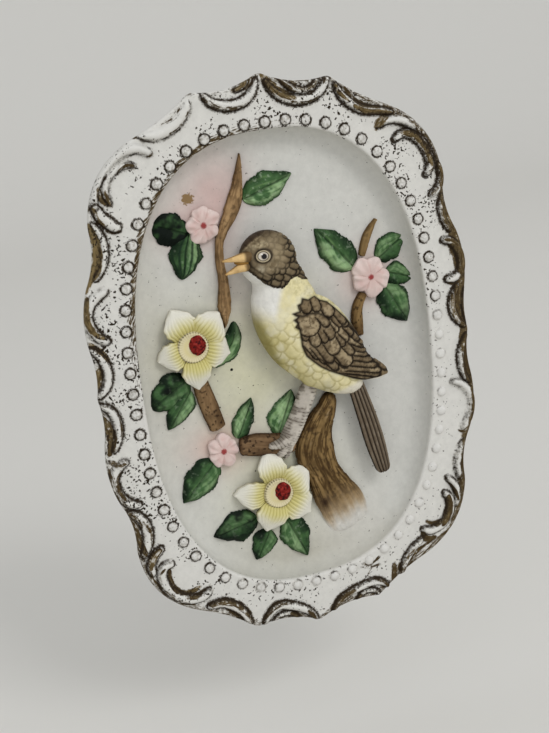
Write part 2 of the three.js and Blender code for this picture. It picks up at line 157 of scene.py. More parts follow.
def ramp(value: Array, low: float, high: float) -> Array:
    """A smooth step from zero at low to one at high."""
    t = np.clip((value - low) / (high - low), 0, 1)
    return t * t * (3 - 2 * t)


def lattice(cell: Array, seed: int) -> Array:
    """A repeatable random number in each whole-numbered cell."""
    mixed = cell[..., 0] * 374761393 + cell[..., 1] * 668265263 + cell[..., 2] * 2147483647
    mixed = (mixed + seed * 1274126177) & 0xFFFFFFFF
    mixed = ((mixed ^ (mixed >> 13)) * 1274126177) & 0xFFFFFFFF
    return ((mixed ^ (mixed >> 16)) & 0xFFFF) / 65535.0


def noise(places: Array, size: float, seed: int) -> Array:
    """Smooth noise from zero to one.

    Args:
        places: Rows of two or three coordinates in millimetres.
        size: The size of the noise's patches in millimetres.
        seed: Which of the noises.

    Returns:
        One value for each row.
    """
    scaled = np.zeros((len(places), 3))
    scaled[:, : places.shape[1]] = places / size + 1000.0
    cell = np.floor(scaled).astype(np.int64)
    part = scaled - cell
    part = part * part * (3 - 2 * part)
    total = np.zeros(len(places))
    for corner in np.ndindex(2, 2, 2):
        offset = np.array(corner)
        weight = np.prod(np.where(offset == 1, part, 1 - part), axis=1)
        total += weight * lattice(cell + offset, seed)
    return total


def fractal(places: Array, size: float, seed: int, octaves: int = 3) -> Array:
    """Noise with finer noise added to it, from about zero to one."""
    total = np.zeros(len(places))
    reach = 0.0
    for k in range(octaves):
        total += noise(places, size / 2**k, seed + 17 * k) / 2**k
        reach += 1 / 2**k
    return total / reach


def through(stations: Array, t: Array) -> Array:
    """A smooth curve through rows of numbers, read at t from 0 to 1."""
    along = np.clip(t, 0, 1) * (len(stations) - 1)
    k = np.minimum(along.astype(int), len(stations) - 2)
    s = (along - k)[:, None]
    a, b, c, d = (stations[np.clip(k + i, 0, len(stations) - 1)] for i in (-1, 0, 1, 2))
    return b + 0.5 * s * (c - a + s * (2 * a - 5 * b + 4 * c - d + s * (3 * (b - c) + d - a)))


def headings(stations: Array, t: Array) -> Array:
    """The direction of travel in the plate's plane at t, as unit vectors."""
    step = through(stations, np.minimum(t + 0.004, 1)) - through(stations, np.maximum(t - 0.004, 0))
    return step[:, :2] / np.linalg.norm(step[:, :2], axis=1, keepdims=True)


# --- Making meshes ---


class Paint:
    """Colour laid over a piece's corners, one coat on another."""

    def __init__(self, count: int, base: str) -> None:
        """Begin with one colour all over."""
        self.rgb = np.tile(linear(base), (count, 1))

    def coat(self, colour: str, cover: Array) -> None:
        """Lay a colour on as thickly as cover says, from zero to one."""
        cover = np.clip(cover, 0, 1)[:, None]
        self.rgb += (linear(colour) - self.rgb) * cover

    def store(self, piece: Mesh) -> None:
        """Keep the colours with the mesh, under the name that the materials read."""
        layer = piece.data.attributes.new("glaze", "FLOAT_COLOR", "POINT")
        colour = np.concatenate([self.rgb, np.ones((len(self.rgb), 1))], axis=1)
        layer.data.foreach_set("color", colour.astype(np.float32).ravel())


def deselect() -> None:
    """Leave nothing selected, so that an operator acts on the new piece alone."""
    bpy.ops.object.select_all(action="DESELECT")


def activate(piece: Mesh) -> None:
    """Select one piece and make it the active one."""
    deselect()
    piece.select_set(True)
    bpy.context.view_layer.objects.active = piece


def corners(piece: Mesh) -> Array:
    """The places of a piece's corners as rows of three."""
    co = np.empty(len(piece.data.vertices) * 3)
    piece.data.vertices.foreach_get("co", co)
    return co.reshape(-1, 3)


def move_corners(piece: Mesh, places: Array) -> None:
    """Put a piece's corners at new places."""
    piece.data.vertices.foreach_set("co", places.astype(np.float32).ravel())
    piece.data.update()


def new_skin(name: str, around: int, rows: int) -> tuple[Mesh, Array, Array]:
    """A closed skin to be shaped, with a pole at each end and rings of corners between.

    Args:
        name: The piece's name.
        around: Corners in each ring.
        rows: Rings between the two poles.

    Returns:
        The piece, and for each corner which place in its ring and which row it has; row 0 is the
        first pole and row rows + 1 the last.
    """
    deselect()
    bpy.ops.mesh.primitive_uv_sphere_add(segments=around, ring_count=rows + 1, radius=1)
    piece = bpy.context.active_object
    piece.name = name
    piece.data.name = name
    ball = corners(piece)
    # The sphere's first corner lies a quarter turn round, which is between two places unless the
    # ring divides by four.
    start = around % 4 / 4
    turned = np.arctan2(ball[:, 1], ball[:, 0]) / (2 * math.pi) * around - start
    place = np.round(turned).astype(int) % around
    row = np.round(np.arccos(np.clip(ball[:, 2], -1, 1)) / math.pi * (rows + 1)).astype(int)
    return piece, place, row


def round_skin(name: str, around: int, rows: int) -> tuple[Mesh, Array, Array]:
    """A closed skin, with each corner's direction round it and its turn from the first pole."""
    piece, place, row = new_skin(name, around, rows)
    return piece, 2 * math.pi * place / around, row / (rows + 1) * math.pi


def face_outwards(piece: Mesh) -> None:
    """Turn every face of a closed piece outwards."""
    activate(piece)
    bpy.ops.object.mode_set(mode="EDIT")
    bpy.ops.mesh.select_all(action="SELECT")
    bpy.ops.mesh.normals_make_consistent(inside=False)
    bpy.ops.object.mode_set(mode="OBJECT")


def shape_skin(piece: Mesh, x: Array, z: Array, rise: Array) -> None:
    """Put a skin's corners at their places on the plate and turn its faces outwards."""
    move_corners(piece, PLATE.points(x, z, rise))
    face_outwards(piece)


def facings(piece: Mesh) -> Array:
    """The way that each corner faces, as unit vectors."""
    facing = np.empty(len(piece.data.vertices) * 3, dtype=np.float32)
    piece.data.vertex_normals.foreach_get("vector", facing)
    return facing.reshape(-1, 3)


def emboss(piece: Mesh, height: Array) -> None:
    """Push each corner out of the surface by its height in millimetres."""
    move_corners(piece, corners(piece) + facings(piece) * height[:, None] * MM)


def facing_front(piece: Mesh) -> Array:
    """How squarely each corner faces the front, from -1 to 1."""
    return -facings(piece)[:, 1]


def on_plate(piece: Mesh) -> Array:
    """Each corner's place on the plate, as rows of x and z in millimetres."""
    return corners(piece)[:, (0, 2)] / MM - np.array(PLATE.middle)


def as_seen(piece: Mesh) -> Array:
    """Where each corner appears against the border's level from the viewer's place.

    The bird stands well off the plate, so its painted edges are set out as the viewer sees them.

    Returns:
        Rows of x and z in millimetres.
    """
    spot = corners(piece) / MM
    viewer = np.array(VIEWER)
    height = -spot[:, 1] - PLATE.border_rise
    stretch = (viewer[2] / (viewer[2] - height))[:, None]
    flat = spot[:, (0, 2)] - np.array(PLATE.middle)
    return viewer[:2] + (flat - viewer[:2]) * stretch


def give(piece: Mesh, name: str, values: Array) -> None:
    """Keep one number for each corner with the mesh, for the materials to read."""
    layer = piece.data.attributes.new(name, "FLOAT", "POINT")
    layer.data.foreach_set("value", values.astype(np.float32))


def join_pieces(pieces: Sequence[Mesh], name: str) -> Mesh:
    """Join finished meshes into one piece."""
    activate(pieces[0])
    for piece in pieces[1:]:
        piece.select_set(True)
    bpy.ops.object.join()
    whole = bpy.context.active_object
    whole.name = name
    whole.data.name = name
    return whole


def finish_piece(piece: Mesh, slot: Slot, material: Material,
                 nodes: Sequence[str] = ()) -> None:
    """Dress a piece, fix it to the plaque and hide the solids that it stands for.

    Args:
        piece: The finished mesh.
        slot: The record's slot for its finish; not used.
        material: Its material.
        nodes: The solids that it replaces.
    """
    activate(piece)
    bpy.ops.object.shade_smooth()
    piece.data.materials.clear()
    piece.data.materials.append(material)
    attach(piece, BODY)
    if nodes:
        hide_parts(*nodes)
    LOG.info("%s: %d faces", piece.name, len(piece.data.polygons))


@dataclass
class Loft:
    """A rounded body along stations [x, z, half width, rise above the floor, half depth]."""

    name: str
    stations: Sequence[Sequence[float]]
    around: int
    rows: int
    end_round: float = 0.06
    t: Array = field(init=False)
    turn: Array = field(init=False)
    across: Array = field(init=False)

    def build(self) -> Mesh:
        """Shape the skin along the stations and keep each corner's place along and around it.

        Returns:
            The piece, without a material.
        """
        piece, place, row = new_skin(self.name, self.around, self.rows)
        stations = np.array(self.stations, dtype=float)
        self.t = row / (self.rows + 1)
        self.turn = (place + 0.5) * 2 * math.pi / self.around
        at = through(stations, self.t)
        aim = headings(stations, self.t)
        closing = np.clip(np.minimum(self.t, 1 - self.t) / self.end_round, 0, 1)
        ease = np.sqrt(closing * (2 - closing))
        self.across = np.cos(self.turn)
        side = at[:, 2] * ease * self.across
        lift = at[:, 4] * ease * np.sin(self.turn)
        shape_skin(piece, at[:, 0] - aim[:, 1] * side, at[:, 1] + aim[:, 0] * side,
                   PLATE.floor_rise + at[:, 3] + lift)
        return piece


# --- Finishes ---


class Wiring:
    """The nodes of one material, added and joined up as they are asked for."""

    def __init__(self, name: str) -> None:
        """Begin a material.

        Args:
            name: The material's name.
        """
        self.material = bpy.data.materials.new(name)
        self.material.use_nodes = True
        self.tree = self.material.node_tree
        self.shader = self.tree.nodes["Principled BSDF"]
        self.places = self.node("TexCoord").outputs["Object"]

    def feed(self, node: Node, inputs: dict[str | int, object]) -> None:
        """Give each input its value, or join it to the socket given for it.

        Args:
            node: The node.
            inputs: A value or a socket for each input.
        """
        for name, value in inputs.items():
            if isinstance(value, Socket):
                self.tree.links.new(value, node.inputs[name])
            else:
                node.inputs[name].default_value = value

    def node(self, kind: str, inputs: dict[str | int, object] | None = None, **settings: str) -> Node:
        """Add a node.

        Args:
            kind: Its kind, without Blender's prefix.
            inputs: A value or a socket for each input.
            settings: Its other settings.

        Returns:
            The node.
        """
        node = self.tree.nodes.new(f"ShaderNode{kind}")
        for name, value in settings.items():
            setattr(node, name, value)
        self.feed(node, inputs or {})
        return node

    def attribute(self, name: str) -> Socket:
        """A socket with one of the piece's own numbers."""
        return self.node("Attribute", attribute_name=name).outputs["Fac"]

    def noise(self, scale: float, detail: float, vector: Socket | None = None) -> Socket:
        """A socket with noise over the piece's places, or over those that vector gives."""
        places = self.places if vector is None else vector
        return self.node("TexNoise", {"Scale": scale, "Detail": detail, "Vector": places}).outputs["Fac"]

    def brushed(self, along: float, aside: float, detail: float) -> Socket:
        """A socket with noise drawn out along the brush marks."""
        way = {"X": self.maths("MULTIPLY", self.attribute("run"), along),
               "Y": self.maths("MULTIPLY", self.attribute("lane"), aside)}
        return self.noise(1.0, detail, self.node("CombineXYZ", way).outputs["Vector"])

    def maths(self, operation: str, *values: float | Socket) -> Socket:
        """A socket with a sum or product of numbers and sockets."""
        return self.node("Math", dict(enumerate(values)), operation=operation).outputs["Value"]

    def stretch(self, value: Socket, zero: float, one: float) -> Socket:
        """A socket that runs smoothly from 0 where the value is zero to 1 where it is one."""
        inputs = {"Value": value, "From Min": zero, "From Max": one}
        return self.node("MapRange", inputs, interpolation_type="SMOOTHSTEP").outputs["Result"]

    def over(self, colour: str | Socket, coat: str | Socket, cover: Socket) -> Socket:
        """A socket with a coat laid over a colour as thickly as cover says."""
        under, top = (c if isinstance(c, Socket) else (*linear(c), 1) for c in (colour, coat))
        return self.node("Mix", {"A": under, "B": top, "Factor": cover}, data_type="RGBA").outputs["Result"]


@dataclass(frozen=True)
class Finish:
    """A painted bisque surface: its own glaze colours, cloudiness, fine grain and bump."""

    name: str
    roughness: float
    grain_depth: float = 0.05
    mottle: float = 0.06
    sheen_of_glaze: float = 0.12
    gloss_spread: float = 0.06

    def build(self) -> Material:
        """The material as nodes on the piece's glaze colours.

        Returns:
            A new material.
        """
        wiring = Wiring(self.name)
        grain = wiring.noise(1500, 4)
        relief = wiring.node("Bump", {"Strength": 0.5, "Distance": self.grain_depth * MM, "Height": grain})
        gloss = wiring.node("MapRange", {"Value": grain, "To Min": self.roughness - self.gloss_spread,
                                         "To Max": self.roughness + self.gloss_spread})
        wiring.feed(wiring.shader, {
            "Specular IOR Level": self.sheen_of_glaze, "Base Color": self.coloured(wiring),
            "Normal": relief.outputs["Normal"], "Roughness": gloss.outputs["Result"]})
        return wiring.material

    def coloured(self, wiring: Wiring) -> Socket:
        """Vary the glaze a little in cloudy patches.

        Args:
            wiring: The material's nodes.

        Returns:
            The socket with the varied colour.
        """
        glaze = wiring.node("Attribute", attribute_name="glaze")
        clouds = wiring.node("TexNoise", {"Scale": 420, "Detail": 5, "Roughness": 0.65,
                                          "Vector": wiring.places})
        spread = wiring.node("MapRange", {"Value": clouds.outputs["Fac"], "From Min": 0.3, "From Max": 0.7,
                                          "To Min": 1 - self.mottle, "To Max": 1 + self.mottle})
        tint = wiring.node("VectorMath", {0: glaze.outputs["Color"], "Scale": spread.outputs["Result"]},
                           operation="SCALE")
        return tint.outputs["Vector"]


@dataclass(frozen=True)
class GildedBisque(Finish):
    """White bisque with dark gold lines in its relief, rubbed gold in its hollows and small stains."""

    line_colour: str = "2b2115"
    gold_colour: str = "7f6d49"
    brown_colour: str = "43351f"
    wash_colour: str = "6e634c"
    line_reach: float = 0.66
    speckle_colour: str = "2c2318"
    speckle_size: float = 0.9

    def coloured(self, wiring: Wiring) -> Socket:
        """Lay the gold, its dark lines, the stains and the flecks over the mottled white.

        Args:
            wiring: The material's nodes.

        Returns:
            The socket with the gilded colour.
        """
        colour = super().coloured(wiring)
        maths, stretch, over = wiring.maths, wiring.stretch, wiring.over
        rough, coarse = wiring.noise(1300, 3), wiring.noise(330, 4)
        gild, deep, worn, edge = map(wiring.attribute, ("gild", "deep", "worn", "edge"))
        streaks = wiring.brushed(0.4, 2.2, 3)
        thick = maths("ADD", maths("MULTIPLY_ADD", gild, 0.5, streaks), -0.175)
        thick = maths("MULTIPLY_ADD", rough, 0.35, thick)
        cover = maths("MULTIPLY", stretch(thick, 0.60, 0.82), stretch(gild, 0.02, 0.2))
        depth = maths("MULTIPLY_ADD", streaks, 2.4, maths("ADD", deep, -1.1))
        colour = over(colour, over(self.gold_colour, self.brown_colour, stretch(depth, 0.0, 1.0)), cover)
        beside = maths("MULTIPLY", stretch(edge, 1.9, 0.1), worn)
        wash = maths("MULTIPLY", beside, stretch(rough, 0.40, 0.66))
        colour = over(colour, self.wash_colour, maths("MULTIPLY", wash, 0.75))
        hatch = maths("MULTIPLY_ADD", beside, 0.22, wiring.brushed(2.6, 0.5, 2))
        hatch = maths("MULTIPLY", stretch(hatch, 0.66, 0.76), stretch(beside, 0.1, 0.5))
        colour = over(colour, self.line_colour, maths("MULTIPLY", hatch, 0.85))
        wander = maths("MULTIPLY_ADD", rough, -0.8, maths("ADD", edge, 0.4))
        breaks = maths("MULTIPLY_ADD", coarse, 0.9, maths("MULTIPLY", worn, 0.42))
        line = maths("MULTIPLY", stretch(wander, self.line_reach, 0.10), stretch(breaks, 0.50, 0.72))
        colour = over(colour, self.line_colour, line)
        for stain in STAINS:
            colour = over(colour, stain.colour, self.stained(wiring, rough, stain))
        dust = wiring.noise(1000 / self.speckle_size, 2)
        found = maths("MULTIPLY_ADD", wiring.attribute("specks"), 0.172, dust)
        return over(colour, self.speckle_colour, stretch(found, 0.73, 0.76))

    def stained(self, wiring: Wiring, rough: Socket, stain: "Stain") -> Socket:
        """Find where one small stain lies.

        Args:
            wiring: The material's nodes.
            rough: The noise that frays the stain's edge.
            stain: The stain.

        Returns:
            The socket with the stain's cover.
        """
        centre = PLATE.points(*stain.middle, PLATE.floor_rise)
        share = (1000 / stain.size[0], 300, 1000 / stain.size[1])
        gap = wiring.node("VectorMath", {0: wiring.places, 1: tuple(centre)}, operation="SUBTRACT")
        scaled = wiring.node("VectorMath", {0: gap.outputs["Vector"], 1: share}, operation="MULTIPLY")
        length = wiring.node("VectorMath", {0: scaled.outputs["Vector"]}, operation="LENGTH")
        wander = wiring.maths("MULTIPLY_ADD", rough, stain.raggedness, length.outputs["Value"])
        fray = 0.5 * stain.raggedness
        return wiring.stretch(wander, 1.0 + fray, 0.75 + fray)


@dataclass(frozen=True)
class Stain:
    """A small mark on the floor of the well."""

    middle: Place
    size: Place
    colour: str
    raggedness: float


STAINS = (
    Stain((-26.0, 57.8), (2.4, 1.9), "8d7350", 1.6), Stain((-18.6, -0.4), (0.62, 0.55), "181410", 0.3),
    Stain((-7.6, 62.6), (0.36, 0.36), "221c16", 0.3), Stain((-11.8, 50.4), (0.4, 0.4), "2c241c", 0.4),
)


# --- The plate ---


@dataclass(frozen=True)
class Stroke:
    """A raised stroke of the border's scrollwork, drawn clockwise.

    Its dark edge lines are as strong as lined says, on the rim's side and on the well's side.
    """

    way: tuple[Place, ...]
    width: float
    lined: Place = (0.6, 0.95)
    height: float = 1.9
    taper: float = 0.32

    def sampled(self, count: int = 48) -> tuple[Array, Array]:
        """Places along the stroke and its half width there."""
        t = np.linspace(0, 1, count)
        ease = np.maximum(np.sin(np.pi * t), 0.002) ** self.taper
        return through(np.array(self.way), t), 0.5 * self.width * ease


ROUND = 0.14
SCROLLWORK = (
    Stroke(((-19.2, 90), (-16.8, 87.1), (-13, 85.6), (-9.4, 85.3), (-6, 86.3), (-3.2, 88.6), (-1.4, 92.4)),
           3.3, (0.6, 1.0)),
    Stroke(((-8.6, 89.6), (-5.6, 91.2), (-4, 94)), 2.0, (0.4, 0.6), 1.2),
    Stroke(((1.4, 91.6), (4, 87.8), (8, 85.2), (13, 84.3), (17.6, 85.3), (20.7, 87.8), (22.2, 90.4)),
           3.2, (0.7, 1.0)),
    Stroke(((5.6, 93.6), (8.6, 89.4), (12.6, 87.2), (16.4, 87.4), (19.2, 90.4)), 2.2, (0.8, 0.8), 1.3),
    Stroke(((24.4, 88), (26.2, 84.2), (29.4, 81), (33.4, 78.7), (38, 77.9), (43.4, 76.6)), 3.0, (0.8, 0.9)),
    Stroke(((37.6, 72.6), (42, 74.2), (47, 73.4), (51.4, 70.4), (55.4, 65), (57.4, 59)), 2.8, (0.2, 0.9)),
    Stroke(((43.4, 67.8), (46, 69.3), (49.4, 68.6), (52.6, 65.6), (54.8, 61.4), (55.2, 57.6), (53.6, 55)),
           3.0, (0.9, 0.9), taper=ROUND),
    Stroke(((58.4, 58), (58.9, 53.6), (57.6, 50), (54.6, 47.8)), 2.6, (0.3, 0.9), taper=0.2),
    Stroke(((58.6, 47.6), (57.9, 43.4), (58.7, 39), (60.8, 34.8)), 2.2, (0.6, 0.8)),
    Stroke(((58, 32.2), (61, 31.2), (63.4, 27.8), (64.2, 23.8), (63.2, 20.2), (60.6, 18.7), (58.2, 18.6)),
           3.0, (0.5, 0.95), taper=ROUND),
    Stroke(((62, 16.2), (59.8, 12.6), (59.3, 8.4), (60.7, 4.4), (63.6, 1.2)), 2.6, (0.5, 0.8)),
    Stroke(((64.8, 15), (63.8, 8), (64.9, 2)), 1.4, (0.8, 0.8), 1.0),
    Stroke(((64.2, -1.4), (61.8, -5.6), (61, -10), (61.6, -15), (63.8, -19)), 2.4, (0.5, 0.7)),
    Stroke(((57.6, -17.6), (60.4, -18.8), (63.4, -22.4), (64.2, -27.6), (62.6, -32), (60.2, -34.8)),
           2.8, (0.4, 0.35), taper=ROUND),
    Stroke(((60.2, -39.4), (57.9, -44), (56.8, -49), (57.8, -54)), 2.4, (0.5, 0.6)),
    Stroke(((52.6, -52.2), (55, -55.2), (56, -59), (55, -63.2)), 2.6, (0.6, 0.6), taper=0.2),
    Stroke(((51.2, -57.8), (52.8, -60.4), (52.4, -65), (49.4, -69), (45, -70.6), (41.8, -69.6)),
           3.2, (0.6, 0.8), taper=ROUND),
    Stroke(((41.5, -72.6), (37, -75.8), (33.6, -80), (31.8, -85.2)), 2.6, (0.6, 0.7)),
    Stroke(((27, -88.6), (24.6, -85.8), (21, -84.6), (16.6, -85.2), (12, -86.2), (8, -88.2), (5, -91.6)),
           2.8, (0.6, 0.95)),
    Stroke(((23, -90.4), (21.6, -88.4), (18.8, -87.4), (16, -88.2), (13.6, -91.4)), 1.8, (0.9, 0.9), 1.2),
    Stroke(((-1.4, -93.6), (-3, -90.4), (-6.4, -87.6), (-10.4, -85.6), (-14.6, -84.6), (-18.2, -86.8),
            (-20.8, -90.6)), 3.0, (0.7, 0.95)),
    Stroke(((-7.4, -92), (-9.6, -89.2), (-12.6, -88), (-15.6, -88.8), (-18, -90.8)), 1.8, (0.9, 0.9), 1.2),
    Stroke(((-25.4, -89), (-26.8, -85), (-29.6, -81.2), (-34, -78.4), (-39.4, -78.4)), 3.4, (0.9, 1.0)),
    Stroke(((-38.2, -72.6), (-40.8, -74.2), (-45.2, -74), (-49.6, -71.4), (-52.6, -67.2), (-53.4, -63),
            (-52, -60.3), (-49.8, -59.9)), 3.4, (0.5, 0.95), taper=ROUND),
    Stroke(((-56.2, -62), (-56.4, -58.6), (-54.6, -55.6), (-52.2, -53.6)), 3.0, (0.8, 0.9), taper=0.2),
    Stroke(((-58.6, -55.2), (-56.5, -51), (-56, -46), (-57.6, -41.6), (-61.4, -38.6)), 3.6, (0.6, 1.0)),
    Stroke(((-57.4, -36.7), (-59.6, -36.2), (-62.2, -33.8), (-64, -30), (-64, -26), (-62, -23),
            (-59.4, -21.6)), 3.2, (0.5, 0.95), taper=ROUND),
    Stroke(((-62.8, -17.6), (-60.5, -12.6), (-60.3, -8), (-62, -3.6), (-65.2, -1.4)), 3.0, (0.7, 1.0)),
    Stroke(((-65.2, 1), (-61.8, 4.4), (-60.9, 9), (-62.2, 13.6), (-65.2, 17.2)), 3.0, (0.8, 1.0)),
    Stroke(((-59.4, 18.5), (-62, 20.4), (-63.9, 23.6), (-64.5, 27.6), (-63, 31), (-60.4, 33.2),
            (-57.8, 34.5)), 3.3, (0.3, 0.9), taper=ROUND),
    Stroke(((-60.4, 38.2), (-57.3, 42.4), (-56.1, 47.4), (-56.8, 52), (-58.8, 55.8)), 2.6, (0.5, 1.0)),
    Stroke(((-51, 53.2), (-52.8, 54.4), (-55.4, 57), (-57.2, 60.4)), 3.6, (0.9, 1.0), taper=ROUND),
    Stroke(((-52, 60.6), (-53.2, 64), (-52.4, 67.8), (-49.6, 70.6), (-46, 71.8), (-43, 71.2)),
           2.4, (0.3, 0.55), 1.3),
    Stroke(((-57.4, 60.4), (-56.4, 66), (-52.4, 71.8), (-47.4, 75.4), (-42, 76.3), (-37.8, 74.4)),
           3.2, (0.05, 0.45), taper=ROUND),
    Stroke(((-40.4, 80), (-36, 79.3), (-32, 80.2), (-28, 82.4), (-25.2, 85.6), (-24, 88)), 3.6, (0.0, 0.6)),
)


@dataclass(frozen=True)
class BrushMark:
    """A dry brush mark on the border: how well it covers, and how deep from gold 0 to brown 1."""

    way: tuple[Place, ...]
    width: float
    cover: float
    deep: float


